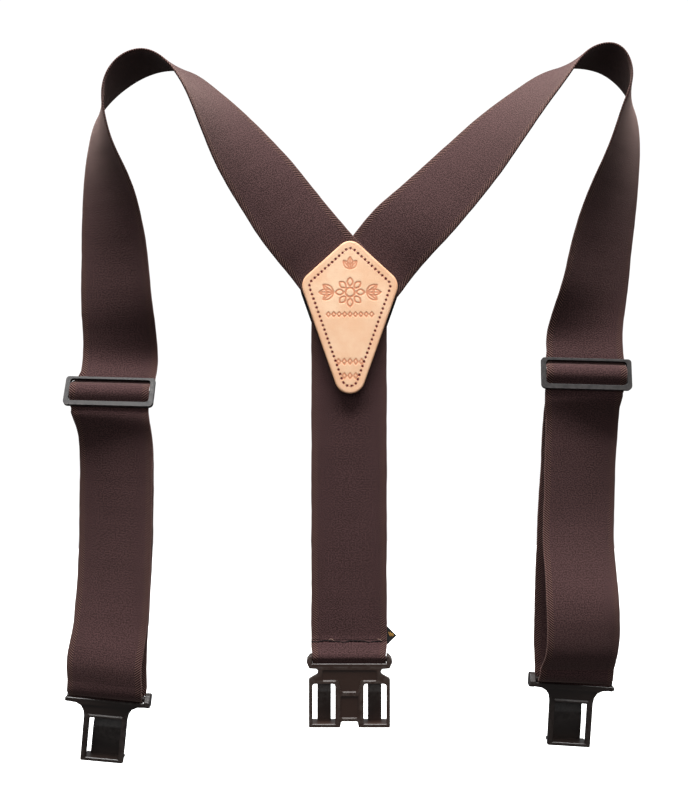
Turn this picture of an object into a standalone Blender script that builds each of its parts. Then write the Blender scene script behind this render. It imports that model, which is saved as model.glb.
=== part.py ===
"""Work suspenders with a Y back: elastic webbing, a leather crossing patch, two slides
and three belt-hook clips.

The suspenders hang from their two shoulder arches. X runs across them, -Y is the outer
face and Z is up. The origin lies on the back plane, on the rear strap's centre line,
level with the inside of the arches. All lengths below are in millimetres.
"""

from math import acos, atan2, cos, pi, radians, sin

import bmesh
import bpy
import numpy as np
from mathutils import Matrix, Vector

MM = 0.001

# Webbing
WEB_WIDTH = 50.8
WEB_THICK = 1.5
GAP = 0.3
LAYER = WEB_THICK + GAP
LOOP_GAP = 0.8

# Depths of the layers at the crossing, in front of the back plane
BACKING_DEPTH = 0.8
REAR_DEPTH = 2.35
RIGHT_DEPTH = REAR_DEPTH + LAYER
LEFT_DEPTH = RIGHT_DEPTH + LAYER
PATCH_THICK = 2.4
PATCH_DEPTH = LEFT_DEPTH + WEB_THICK / 2 + 0.7 + PATCH_THICK / 2

# Leather patch: (x, z, corner radius) of the kite
PATCH_CORNERS = [(0.7, -105.9, 9.5), (-33.0, -136.3, 10.0), (0.5, -231.2, 10.2), (34.0, -136.5, 10.0)]
PATCH_MIDDLE = (0.6, -152.0)
STITCH_INSET = 5.0

# Slides
SLIDE_WIDTH = 59.0
SLIDE_TOP, SLIDE_BOTTOM = 9.5, -11.3
WINDOW_WIDTH = 52.9
WINDOW_TOP, WINDOW_BOTTOM = 7.8, -8.15
SLIDE_BACK, SLIDE_FRONT = -1.2, 1.6
BAR_SET_BACK = -2.0
SLIDE_BAR_R = 1.5

# Clips, measured from the axis of the bar that the webbing goes round
CLIP_BAR_R = 1.9
FRONT_CLIP_HALF = 27.8
REAR_CLIP_HALF = 28.3
BAR_HALF = 26.7
PLATE_BACK, PLATE_FRONT = 4.4, 7.3
HOOK_BACK = -5.8
TONGUE_THICK = 2.4
FRONT_CLIP_DEPTH = 41.2
REAR_CLIP_DEPTH = 43.7
FLOOR_THICK = 2.0
WRAP_R = CLIP_BAR_R + GAP + WEB_THICK / 2

# The two sides: where each slide and clip bar sits (x, depth, z), and how it leans
SIDES = {
    "left": {
        "inner": 1,
        "slide": (-158.0, 14.0, -209.0), "slide_tilt": 26.0,
        "bar": (-159.3, 9.0, -412.1), "roll": 5.3, "lean": 3.5, "drift": 3.6,
    },
    "right": {
        "inner": -1,
        "slide": (155.2, 19.5, -197.2), "slide_tilt": 13.0,
        "bar": (147.2, 8.0, -402.1), "roll": 3.6, "lean": 5.5, "drift": 0.0,
    },
}
SLIDE_ROLL = 1.5
REAR_BAR = (0.2, 6.0, -387.9)

# Shoulder webbing: inner edge (x, depth, z), then outer edge (x, depth, z), from the
# crossing, over the arch and down the front
SHOULDERS = {
    "left": [
        (-10.5, 6.05, -170.0, 17.0, 6.05, -121.8),
        (-28.8, 6.15, -146.4, 11.0, 6.05, -113.9),
        (-38.0, 6.9, -134.5, 0.5, 5.95, -102.6),
        (-52.0, 12.5, -117.5, -14.0, 4.2, -85.5),
        (-72.0, 22.7, -88.0, -37.0, 3.2, -57.0),
        (-88.5, 36.9, -57.3, -62.5, 2.8, -30.0),
        (-101.0, 50.0, -24.3, -90.8, 3.9, -5.6),
        (-110.3, 54.0, -8.5, -106.8, 4.7, 4.0),
        (-125.5, 55.3, 2.1, -125.4, 4.6, 4.8),
        (-142.8, 55.2, -2.2, -142.7, 4.4, -2.1),
        (-152.8, 54.6, -18.0, -157.6, 4.4, -13.5),
        (-152.7, 52.0, -36.0, -169.0, 4.4, -28.3),
        (-148.3, 46.7, -53.5, -174.3, 3.9, -46.0),
        (-141.6, 39.4, -69.3, -177.2, 3.4, -64.5),
        (-136.5, 32.0, -85.6, -178.6, 3.2, -83.4),
        (-131.7, 20.7, -121.1, -179.5, 3.2, -121.0),
        (-129.3, 12.6, -157.6, -179.3, 3.4, -158.5),
    ],
    "right": [
        (17.7, 4.2, -165.1, -3.0, 4.2, -112.0),
        (36.0, 4.4, -141.4, 3.0, 4.2, -104.1),
        (44.2, 6.6, -130.8, 11.8, 3.9, -93.0),
        (58.5, 15.0, -115.0, 27.6, 2.6, -77.6),
        (83.5, 27.8, -86.8, 55.8, 2.4, -52.9),
        (105.3, 40.0, -57.6, 84.0, 4.6, -28.1),
        (125.9, 50.5, -27.3, 114.6, 5.9, -5.8),
        (136.9, 54.5, -12.3, 131.1, 6.4, 3.4),
        (149.3, 57.0, 2.2, 149.9, 6.3, 6.6),
        (166.2, 57.7, 4.0, 168.0, 7.0, 2.7),
        (174.5, 57.8, -12.3, 182.4, 7.9, -9.6),
        (170.2, 55.1, -30.1, 190.7, 8.7, -26.6),
        (164.8, 50.9, -47.8, 193.1, 8.7, -45.5),
        (158.7, 45.4, -65.0, 192.9, 7.9, -64.6),
        (152.2, 38.9, -81.2, 191.7, 7.1, -83.6),
        (142.7, 29.0, -116.4, 187.8, 6.9, -121.7),
        (136.5, 22.6, -145.4, 184.6, 7.6, -150.2),
    ],
}
# The webbing above this station stays put; below it the leg shortens with the slide
SPLIT_STATION = 14

# Loop between slide and clip: (x, depth, z, tilt of the inner edge) of the middle line
LOOP_FRONT = {
    "left": [
        (-155.2, 13.0, -236.0, 6.0), (-155.0, 9.2, -253.0, 9.0), (-155.4, 8.4, -275.0, 9.0),
        (-155.6, 8.8, -302.0, 10.0), (-156.0, 11.4, -338.0, 10.0), (-158.2, 17.0, -370.0, 8.0),
        (-160.4, 20.8, -390.0, 8.0),
    ],
    "right": [
        (153.9, 14.8, -223.0, 8.0), (153.5, 11.4, -249.0, 12.0), (152.8, 11.2, -276.0, 13.0),
        (151.6, 14.0, -306.0, 13.0), (151.5, 21.5, -330.0, 13.0), (151.5, 27.6, -349.0, 12.0),
        (151.6, 27.8, -369.0, 13.0), (150.6, 24.6, -383.0, 13.0),
    ],
}
LOOP_BACK = {
    "left": [
        (-155.8, 7.6, -240.0, 5.0), (-155.4, 4.6, -258.0, 7.0), (-156.0, 3.7, -300.0, 6.0),
        (-158.5, 3.5, -350.0, 4.0), (-160.6, 4.6, -388.0, 1.0),
    ],
    "right": [
        (153.6, 9.6, -226.0, 7.0), (152.6, 5.6, -250.0, 10.0), (150.6, 4.9, -290.0, 9.0),
        (149.4, 4.2, -335.0, 6.0), (149.0, 3.9, -372.0, 2.0),
    ],
}

# Paths seen from the side, as (forward, up) of the middle of the webbing
# through the slide, over the sewn end on the centre bar
SLIDING_PATH = [(-2.7, 15.0), (-2.5, 11.5), (-2.6, 9.4), (-2.45, 8.0), (-1.55, 6.4), (0.1, 4.9), (1.5, 3.5),
                (2.35, 1.8), (2.6, 0.0), (2.35, -1.8), (1.5, -3.5), (0.1, -5.2), (-1.3, -6.6), (-2.2, -8.0),
                (-2.45, -9.4), (-2.4, -11.5), (-2.4, -13.5)]
# how far it shifts towards the wearer's middle and how far it spreads, by height
SLIDING_HEIGHTS = [-13.5, -9.6, -6.9, -4.6, 4.6, 6.9, 9.6, 15.0, 22.0]
SLIDING_SHIFT = [1.4, 0.4, 0.0, 0.0, 0.0, 0.0, 0.0, 0.0, 0.0]
SLIDING_DRIFT = [0.0, 0.0, 0.0, 0.0, 0.0, 0.03, 0.7, 1.0, 1.0]
SLIDING_HALF = [25.4, 25.4, 24.9, 26.1, 26.1, 24.9, 25.4, 25.4, 25.4]
SEWN_END_PATH = [(-4.3, -10.6), (-4.3, -8.4), (-4.0, -6.4), (-2.15, -3.7), (-0.05, -1.65),
                 (0.55, 0.0), (0.1, 1.45), (-0.9, 2.3), (-2.0, 2.55), (-3.2, 2.25), (-4.2, 1.3),
                 (-4.85, -0.5), (-5.55, -4.0), (-6.1, -7.5), (-6.3, -10.0), (-6.8, -13.2)]
# round the front clip's bar
FOLD_PATH = [(10.8, 10.9), (10.4, 7.2), (9.3, 3.9), (7.0, 1.6), (4.6, 0.95), (3.35, -0.1)]
FOLD_DROP = 0.6
FOLD_TAIL = [(-WRAP_R - 0.1, 2.4), (-WRAP_R - 0.5, 7.4)]
FOLD_SHIFT = -1.8
# the webbing is squeezed between the lugs: half width by height above the bar
FOLD_HEIGHTS = [0.6, 3.0]
FOLD_HALF = [24.0, 25.4]
HEM_HALF = [24.3, 25.4]

# Rear strap: (depth, z) of its middle
REAR_PATH = [(2.35, -131.0), (2.35, -160.0), (2.35, -205.0), (3.0, -250.0), (4.2, -310.0), (5.3, -350.0),
             (5.6, -368.5)]
HEM_PATH = [(5.6, -368.9), (5.9, -373.5), (7.7, -378.5), (9.9, -382.3), (11.2, -385.0), (11.0, -386.8),
            (9.9, -388.05)]
HEM_TURN = 10
HEM_TAIL = [(2.85, -385.0), (2.45, -378.0), (2.4, -370.5)]
REAR_WRAP_R, REAR_WRAP_Z = 3.0, -389.1
HEM_HEIGHTS = [-384.6, -379.0]
HEM_STITCH_Z = -375.9
TAG_CENTRE = (25.6, 4.1, -372.7)
TAG_HALF_DIAGONAL = 6.2
TAG_THICK = 0.6

COLOURS = {
    "webbing": ((0.045, 0.026, 0.024), 0.85, 0.0),
    "leather": ((0.78, 0.47, 0.26), 0.55, 0.0),
    "backing": ((0.020, 0.017, 0.016), 0.7, 0.0),
    "thread": ((0.45, 0.26, 0.15), 0.7, 0.0),
    "dark_thread": ((0.03, 0.018, 0.016), 0.8, 0.0),
    "slide_plastic": ((0.075, 0.078, 0.072), 0.45, 0.0),
    "clip_plastic": ((0.018, 0.014, 0.012), 0.4, 0.0),
    "tag": ((0.012, 0.011, 0.010), 0.6, 0.0),
}


# ---------------------------------------------------------------- scene and materials

for old in list(bpy.data.objects):
    bpy.data.objects.remove(old, do_unlink=True)


def new_collection(name):
    collection = bpy.data.collections.new(name)
    bpy.context.scene.collection.children.link(collection)
    return collection


PARTS = new_collection("suspenders")
CUTTERS = new_collection("cutters")


def make_material(name):
    colour, roughness, metallic = COLOURS[name]
    material = bpy.data.materials.new(name)
    material.use_nodes = True
    shader = material.node_tree.nodes["Principled BSDF"]
    shader.inputs["Base Color"].default_value = (*colour, 1.0)
    shader.inputs["Roughness"].default_value = roughness
    shader.inputs["Metallic"].default_value = metallic
    return material


MATERIALS = {name: make_material(name) for name in COLOURS}


def place(obj, collection, parent=None):
    collection.objects.link(obj)
    if parent is not None:
        obj.parent = parent
    return obj


def new_part(name, mesh, material, parent=None):
    mesh.materials.clear()
    mesh.materials.append(MATERIALS[material])
    mesh.shade_smooth()
    mesh.set_sharp_from_angle(angle=radians(35))
    return place(bpy.data.objects.new(name, mesh), PARTS, parent)


def new_cutter(name, mesh, parent=None):
    obj = place(bpy.data.objects.new(name, mesh), CUTTERS, parent)
    obj.hide_render = True
    obj.display_type = "WIRE"
    return obj


def joint_empty(name, spot, tilt=0.0, roll=0.0):
    x, depth, z = spot
    empty = place(bpy.data.objects.new(name, None), PARTS)
    empty.location = (x * MM, -depth * MM, z * MM)
    empty.rotation_euler = (radians(-tilt), radians(roll), 0.0)
    empty.empty_display_size = 0.01
    return empty


def boolean(obj, other, operation, solver="EXACT"):
    modifier = obj.modifiers.new(operation.lower() + "_" + other.name, "BOOLEAN")
    modifier.operation = operation
    modifier.solver = solver
    modifier.object = other


def bevel(obj, width, segments=1, angle=40):
    modifier = obj.modifiers.new("rounded_edges", "BEVEL")
    modifier.width = width * MM
    modifier.segments = segments
    modifier.limit_method = "ANGLE"
    modifier.angle_limit = radians(angle)


# ---------------------------------------------------------------- shapes

def smooth_curve(points, spacing):
    """Points every `spacing` mm on the natural cubic spline through the given points."""
    points = np.array(points, float)
    half = points.shape[1] // 2 if points.shape[1] == 6 else points.shape[1]
    steps = np.diff(points, axis=0)
    chord = np.linalg.norm(steps[:, :half], axis=1)
    if points.shape[1] == 6:
        chord = (chord + np.linalg.norm(steps[:, half:], axis=1)) / 2
    along = np.concatenate([[0.0], np.cumsum(chord)])
    size = len(points)
    system = np.eye(size)
    right = np.zeros_like(points)
    for i in range(1, size - 1):
        before, after = chord[i - 1], chord[i]
        system[i, i - 1:i + 2] = before, 2 * (before + after), after
        right[i] = 6 * (steps[i] / after - steps[i - 1] / before)
    bend = np.linalg.solve(system, right)
    result = []
    for i in range(size - 1):
        count = max(2, int(round(chord[i] / spacing)))
        for k in range(count):
            t = chord[i] * k / count
            slope = steps[i] / chord[i] - chord[i] * (2 * bend[i] + bend[i + 1]) / 6
            cubic = (bend[i + 1] - bend[i]) / (6 * chord[i])
            result.append(points[i] + slope * t + bend[i] / 2 * t ** 2 + cubic * t ** 3)
    result.append(points[-1])
    return np.array(result), along[-1]


def rounded_outline(corners, steps=5):
    """Points of a closed outline whose corners (x, z, radius) are rounded by arcs."""
    outline = []
    count = len(corners)
    for i, (x, z, radius) in enumerate(corners):
        here = Vector((x, z))
        back = (Vector(corners[i - 1][:2]) - here).normalized()
        ahead = (Vector(corners[(i + 1) % count][:2]) - here).normalized()
        if radius == 0:
            outline.append(here)
            continue
        half = acos(max(-1.0, min(1.0, back.dot(ahead)))) / 2
        reach = radius / np.tan(half)
        middle = here + (back + ahead).normalized() * (radius / sin(half))
        start = here + back * reach - middle
        turn = start.angle_signed(here + ahead * reach - middle)
        for k in range(steps + 1):
            angle = atan2(start.y, start.x) - turn * k / steps
            outline.append(middle + Vector((cos(angle), sin(angle))) * radius)
    return outline


def slab(outlines, thick, forward, across=None):
    """Mesh of a flat plate with holes, standing in the XZ plane at a distance forward.

    With `across` set, the outline lies in the (forward, up) plane instead, and the
    plate's thickness runs along X round that place.
    """
    curve = bpy.data.curves.new("outline", "CURVE")
    curve.dimensions = "2D"
    curve.fill_mode = "BOTH"
    curve.extrude = thick / 2 * MM
    for outline in outlines:
        spline = curve.splines.new("POLY")
        spline.points.add(len(outline) - 1)
        for point, (x, z) in zip(spline.points, outline):
            point.co = (x * MM, z * MM, 0.0, 1.0)
        spline.use_cyclic_u = True
    guide = place(bpy.data.objects.new("outline", curve), CUTTERS)
    if across is None:
        guide.matrix_world = Matrix.Translation((0, -forward * MM, 0)) @ Matrix.Rotation(pi / 2, 4, "X")
    else:
        stand = Matrix.Rotation(-pi / 2, 4, "Z") @ Matrix.Rotation(pi / 2, 4, "X")
        guide.matrix_world = Matrix.Translation((across * MM, 0, 0)) @ stand
    bpy.context.view_layer.update()
    graph = bpy.context.evaluated_depsgraph_get()
    mesh = bpy.data.meshes.new_from_object(guide.evaluated_get(graph))
    mesh.transform(guide.matrix_world)
    bpy.data.objects.remove(guide, do_unlink=True)
    bm = bmesh.new()
    bm.from_mesh(mesh)
    bmesh.ops.remove_doubles(bm, verts=bm.verts, dist=0.00001)
    bmesh.ops.dissolve_limit(bm, angle_limit=radians(0.5), verts=bm.verts, edges=bm.edges)
    bmesh.ops.recalc_face_normals(bm, faces=bm.faces)
    bm.to_mesh(mesh)
    bm.free()
    return mesh


def box_mesh(low, high):
    """Box between two corners given as (x, forward, up)."""
    bm = bmesh.new()
    bmesh.ops.create_cube(bm, size=1.0)
    size = [(b - a) * MM for a, b in zip(low, high)]
    middle = [(a + b) / 2 * MM for a, b in zip(low, high)]
    bmesh.ops.scale(bm, vec=size, verts=bm.verts)
    bmesh.ops.translate(bm, vec=(middle[0], -middle[1], middle[2]), verts=bm.verts)
    mesh = bpy.data.meshes.new("box")
    bm.to_mesh(mesh)
    bm.free()
    return mesh


def rod_mesh(radius, half_length, forward=0.0, sides=20):
    """Rod along X through a point set forward of the local origin."""
    bm = bmesh.new()
    bmesh.ops.create_cone(bm, cap_ends=True, segments=sides, radius1=radius * MM, radius2=radius * MM,
                          depth=2 * half_length * MM)
    bmesh.ops.rotate(bm, matrix=Matrix.Rotation(pi / 2, 3, "Y"), verts=bm.verts)
    bmesh.ops.translate(bm, vec=(0, -forward * MM, 0), verts=bm.verts)
    mesh = bpy.data.meshes.new("rod")
    bm.to_mesh(mesh)
    bm.free()
    return mesh


def webbing(name, inner, outer, parent=None):
    """Webbing between two edge lines of (x, depth, z) points, made solid."""
    bm = bmesh.new()
    rows = []
    for a, b in zip(inner, outer):
        corners = [Vector((p[0], -p[1], p[2])) * MM for p in (a, b)]
        middle = (corners[0] + corners[1]) / 2
        rows.append([bm.verts.new(p) for p in (corners[0], middle, corners[1])])
    for row, following in zip(rows, rows[1:]):
        for k in range(2):
            bm.faces.new((row[k], row[k + 1], following[k + 1], following[k]))
    mesh = bpy.data.meshes.new(name)
    bm.to_mesh(mesh)
    bm.free()
    obj = new_part(name, mesh, "webbing", parent)
    solid = obj.modifiers.new("thickness", "SOLIDIFY")
    solid.thickness = WEB_THICK * MM
    solid.offset = 0.0
    return obj


def flat_webbing(name, path, half_width=lambda up: WEB_WIDTH / 2, parent=None, spacing=2.0,
                 shift=lambda up: 0.0, lean=lambda forward: 0.0, inner=1):
    """Webbing that runs across X and follows a (forward, up) path.

    Its half width and its shift towards the inner side vary with height, and its inner
    edge leans forward of the outer one by twice the lean.
    """
    line, _ = smooth_curve(path, spacing)
    edges = []
    for side in (inner, -inner):
        edges.append([(inner * shift(up) + side * half_width(up), forward + side * inner * lean(forward), up)
                      for forward, up in line])
    return webbing(name, *edges, parent)


def arc(radius, start, end, count, centre=(0.0, 0.0)):
    """(forward, up) points on an arc; 0 degrees is forward and 90 degrees is down."""
    angles = np.radians(np.linspace(start, end, count))
    return [(centre[0] + radius * cos(a), centre[1] - radius * sin(a)) for a in angles]


def thread(name, points, radius, material, closed=False, parent=None):
    """Round thread through (x, depth, z) points."""
    curve = bpy.data.curves.new(name, "CURVE")
    curve.dimensions = "3D"
    curve.bevel_depth = radius * MM
    curve.bevel_resolution = 1
    curve.use_fill_caps = not closed
    spline = curve.splines.new("POLY")
    spline.points.add(len(points) - 1)
    for point, (x, depth, z) in zip(spline.points, points):
        point.co = (x * MM, -depth * MM, z * MM, 1.0)
    spline.use_cyclic_u = closed
    curve.materials.append(MATERIALS[material])
    return place(bpy.data.objects.new(name, curve), PARTS, parent)


# ---------------------------------------------------------------- webbing

def local_edge(spot, tilt, roll, x, forward, up):
    """World (x, depth, z) of a point given in a slide's or clip's own frame."""
    turn = Matrix.Rotation(radians(roll), 3, "Y") @ Matrix.Rotation(radians(-tilt), 3, "X")
    p = turn @ Vector((x, -forward, up))
    return (spot[0] + p.x, spot[1] - p.y, spot[2] + p.z)


def edge_pair(station, inner, roll):
    """Inner and outer edge of a loop station (x, depth, z, tilt)."""
    x, depth, z, tilt = station
    across = inner * WEB_WIDTH / 2 * cos(radians(tilt))
    lift = WEB_WIDTH / 2 * sin(radians(tilt))
    drop = across * sin(radians(roll))
    return (x + across, depth + lift, z - drop, x - across, depth - lift, z + drop)


def slide_shift(facts, up):
    return np.interp(up, SLIDING_HEIGHTS, SLIDING_SHIFT) + facts["drift"] * np.interp(up, SLIDING_HEIGHTS, SLIDING_DRIFT)


def slide_pair(facts, point):
    """World edges of the webbing at a (forward, up) point of the slide's own frame."""
    inner, up = facts["inner"], point[1]
    pair = []
    for side in (inner, -inner):
        x = inner * slide_shift(facts, up) + side * np.interp(up, SLIDING_HEIGHTS, SLIDING_HALF)
        pair += local_edge(facts["slide"], facts["slide_tilt"], SLIDE_ROLL, x, *point)
    return pair


def sewn_pair(facts, point):
    inner = facts["inner"]
    pair = []
    for side in (inner, -inner):
        pair += local_edge(facts["slide"], facts["slide_tilt"], SLIDE_ROLL, side * WEB_WIDTH / 2, *point)
    return pair


def fold_lean(facts, forward):
    return facts["lean"] * np.interp(forward, [3.3, 10.8], [0.0, 1.0])


def fold_pair(facts, point):
    """World edges of the webbing at a (forward, up) point of the clip's own frame."""
    inner = facts["inner"]
    forward, up = point
    pair = []
    for side in (inner, -inner):
        x = inner * FOLD_SHIFT + side * np.interp(up, FOLD_HEIGHTS, FOLD_HALF)
        ahead = forward + side * inner * fold_lean(facts, forward)
        pair += local_edge(facts["bar"], 0.0, facts["roll"], x, ahead, up)
    return pair


def split_rails(points):
    return points[:, :3], points[:, 3:]


def trim(points, start=0.0, end=0.0):
    """Shorten a row of stations by whole gaps at either end."""
    points = points.copy()
    if start:
        step = points[1] - points[0]
        points[0] += step * start / np.linalg.norm(step[:3])
    if end:
        step = points[-2] - points[-1]
        points[-1] += step * end / np.linalg.norm(step[:3])
    return points


def shoulder_webbing(side, facts):
    stations = SHOULDERS[side] + [slide_pair(facts, (-2.9, 22.0)), slide_pair(facts, SLIDING_PATH[0])]
    split = smooth_curve(stations, 6.0)[0]
    where = np.argmin(np.linalg.norm(split - np.array(SHOULDERS[side][SPLIT_STATION]), axis=1))
    webbing(side + "_shoulder_webbing", *split_rails(split[:where + 1]))
    webbing(side + "_leg_webbing", *split_rails(trim(split[where:], GAP, GAP)))


def loop_webbing(side, facts):
    inner = facts["inner"]
    slide_end, fold_start = slide_pair(facts, SLIDING_PATH[-1]), fold_pair(facts, FOLD_PATH[0])
    sewn_end, fold_end = sewn_pair(facts, SEWN_END_PATH[-1]), fold_pair(facts, FOLD_TAIL[-1])
    for name, first, middle, last in (("front", slide_end, LOOP_FRONT[side], fold_start),
                                      ("back", sewn_end, LOOP_BACK[side], fold_end)):
        rolls = np.linspace(SLIDE_ROLL, facts["roll"], len(middle) + 2)[1:-1]
        pairs = [edge_pair(station, inner, roll) for station, roll in zip(middle, rolls)]
        line = smooth_curve([first, *pairs, last], 6.0)[0]
        webbing(side + "_loop_" + name + "_webbing", *split_rails(trim(line, LOOP_GAP, LOOP_GAP)))


# ---------------------------------------------------------------- slides

def slide_frame(side, joint):
    outer = rounded_outline([(-SLIDE_WIDTH / 2, SLIDE_TOP, 2.2), (SLIDE_WIDTH / 2, SLIDE_TOP, 2.2),
                             (SLIDE_WIDTH / 2, SLIDE_BOTTOM, 3.0), (-SLIDE_WIDTH / 2, SLIDE_BOTTOM, 3.0)])
    window = rounded_outline([(-WINDOW_WIDTH / 2, WINDOW_TOP, 2.2), (WINDOW_WIDTH / 2, WINDOW_TOP, 2.2),
                              (WINDOW_WIDTH / 2, WINDOW_BOTTOM, 2.2), (-WINDOW_WIDTH / 2, WINDOW_BOTTOM, 2.2)])
    thick = SLIDE_FRONT - SLIDE_BACK
    mesh = slab([outer, window], thick, (SLIDE_FRONT + SLIDE_BACK) / 2)
    frame = new_part(side + "_slide", mesh, "slide_plastic", joint)
    bevel(frame, 0.7, 2)
    reach = SLIDE_WIDTH / 2 - 0.8
    bar = new_cutter(side + "_slide_bar", rod_mesh(SLIDE_BAR_R, reach, BAR_SET_BACK, 16), joint)
    for end in (-1, 1):
        near, far = sorted((end * (WINDOW_WIDTH / 2 + 0.4), end * (SLIDE_WIDTH / 2 - 0.5)))
        web = box_mesh((near, BAR_SET_BACK - SLIDE_BAR_R - 0.2, -3.2), (far, 0.0, 3.2))
        boolean(frame, new_cutter(side + "_slide_web_%d" % (end + 1), web, joint), "UNION")
    boolean(frame, bar, "UNION")


def slide_parts(side, facts):
    joint = joint_empty(side + "_slide_joint", facts["slide"], facts["slide_tilt"], SLIDE_ROLL)
    slide_frame(side, joint)
    flat_webbing(side + "_slide_webbing", SLIDING_PATH, lambda up: np.interp(up, SLIDING_HEIGHTS, SLIDING_HALF),
                 joint, shift=lambda up: slide_shift(facts, up), inner=facts["inner"])
    flat_webbing(side + "_sewn_end_webbing", SEWN_END_PATH, parent=joint)
    stitch = [(x, -6.25 - WEB_THICK / 2 - 0.6, -9.0) for x in (-23.5, 23.5)]
    thread(side + "_end_stitching", stitch, 0.3, "dark_thread", parent=joint)


# ---------------------------------------------------------------- clips

def front_lugs(name, inner, joint):
    """The two ends of a front clip: they carry the bar and join it to the front plate.

    The outer one is cut back, where the webbing spills over it.
    """
    plate_end = [(PLATE_FRONT + 0.12, -3.1, 0.0), (2.4, -4.9, 1.5), (-2.9, -4.3, 2.0)]
    full = [(-2.9, 4.3, 2.4), (3.6, 4.6, 2.6), (PLATE_FRONT + 0.12, 0.0, 0.0)] + plate_end
    cut_back = [(-2.9, -0.6, 0.0), (-1.9, 0.0, 0.0), (-1.9, 3.4, 1.4), (1.9, 3.4, 1.4), (2.3, 0.6, 0.0),
                (3.0, -0.6, 0.0), (PLATE_FRONT + 0.12, -0.6, 0.0)] + plate_end
    pieces = []
    for near, far, outline in ((24.0 * inner, FRONT_CLIP_HALF * inner, full),
                               (-26.15 * inner, -FRONT_CLIP_HALF * inner, cut_back)):
        mesh = slab([rounded_outline(outline, 4)], abs(far - near), 0.0, (near + far) / 2)
        pieces.append(new_cutter(name + "_lug_%d" % len(pieces), mesh, joint))
        bevel(pieces[-1], 0.6, 2)
    return pieces


def rear_lugs(joint):
    """The rear clip's two lugs, with their outer ends cut to a blunt point."""
    far, pieces = REAR_CLIP_HALF, []
    for end in (-1, 1):
        half = [(24.85, 3.3, 0.4), (far - 2.2, 3.3, 0.8), (far, 0.7, 0.6), (far, -0.8, 0.6),
                (far - 1.5, -4.3, 0.4), (24.85, -4.3, 0.0)]
        outline = rounded_outline([(end * x, z, radius) for x, z, radius in half], 3)
        mesh = slab([outline], PLATE_FRONT + 0.12 + 2.9, (PLATE_FRONT + 0.12 - 2.9) / 2)
        pieces.append(new_cutter("rear_clip_lug_%d" % (end + 1), mesh, joint))
        bevel(pieces[-1], 0.5, 2, 50)
    return pieces


def tongue_mesh(depth, half_width, middle, top):
    """Springy tongue that stands up from the back of the hook's floor."""
    back, thick = HOOK_BACK + 0.3, TONGUE_THICK
    floor = -depth + FLOOR_THICK
    profile = rounded_outline([(back, floor - 1.0, 0.0), (back + thick + 0.5, floor - 1.0, 0.0),
                               (back + thick + 0.5, floor + 9.0, 6.0), (back + thick + 0.3, top - 7.5, 6.0),
                               (back + thick - 1.4, top - 0.5, 0.0), (back - 1.2, top - 0.2, 0.0),
                               (back + 0.3, top - 8.5, 6.0), (back + 0.5, floor + 9.0, 6.0)], 4)
    return slab([profile], 2 * half_width, 0.0, middle)


def mirrored(half):
    """Closed outline from the right half, given from top to bottom."""
    return half + [(-x, z, radius) for x, z, radius in reversed(half)]


def panel_cutter(name, outline, depth, joint):
    mesh = slab([rounded_outline(outline, 3)], depth + 1.0, PLATE_FRONT - depth / 2 + 0.5)
    return new_cutter(name, mesh, joint)


def ledge_cutter(name, middle, half_width, top, joint):
    """Cuts the sloped lower wall of a sunk panel."""
    wall = [(PLATE_FRONT - 0.59, top + 0.02), (PLATE_FRONT + 0.5, top + 0.02), (PLATE_FRONT + 0.5, top - 1.5)]
    return new_cutter(name, slab([wall], 2 * half_width, 0.0, middle), joint)


def top_cutter(name, top, joint):
    """Slopes the plate's top edge down to the back, clear of the webbing behind it."""
    wedge = [(PLATE_FRONT - 0.5, top + 0.6), (PLATE_FRONT - 0.5, top), (PLATE_BACK - 0.4, top - 1.6),
             (PLATE_BACK - 0.4, top + 0.6)]
    return new_cutter(name + "_top", slab([wedge], 48.6, 0.0, 0.0), joint)


def build_clip(name, joint, outline, windows, panels, ledges, tongues, floors, lugs, depth):
    """Front plate, lugs, bar, hook floors and tongues, joined into one moulding."""
    thick, edge = PLATE_FRONT - PLATE_BACK, outline[0][1]
    plate_mesh = slab([rounded_outline(outline, 4)] + [rounded_outline(w, 3) for w in windows],
                      thick, (PLATE_FRONT + PLATE_BACK) / 2)
    clip = new_part(name, plate_mesh, "clip_plastic", joint)
    bevel(clip, 0.35, 1)
    for k, outline in enumerate(panels):
        boolean(clip, panel_cutter(name + "_panel_%d" % k, outline, 0.6, joint), "DIFFERENCE", "MANIFOLD")
    boolean(clip, top_cutter(name, edge, joint), "DIFFERENCE", "MANIFOLD")
    for k, (middle, half_width, top) in enumerate(ledges):
        cutter = ledge_cutter(name + "_ledge_%d" % k, middle, half_width, top, joint)
        boolean(clip, cutter, "DIFFERENCE", "MANIFOLD")
    additions = list(lugs)
    additions.append(new_cutter(name + "_bar", rod_mesh(CLIP_BAR_R, BAR_HALF), joint))
    for k, (near, far) in enumerate(floors):
        low = (near, HOOK_BACK, -depth + 0.15)
        high = (far, PLATE_BACK + 1.0, -depth + FLOOR_THICK)
        floor = new_cutter(name + "_floor_%d" % k, box_mesh(low, high), joint)
        bevel(floor, 0.5, 2)
        additions.append(floor)
    for k, (middle, half_width, top) in enumerate(tongues):
        tongue = new_cutter(name + "_tongue_%d" % k, tongue_mesh(depth, half_width, middle, top), joint)
        bevel(tongue, 0.4, 1)
        additions.append(tongue)
    for piece in additions:
        boolean(clip, piece, "UNION", "MANIFOLD")
    return clip


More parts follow.
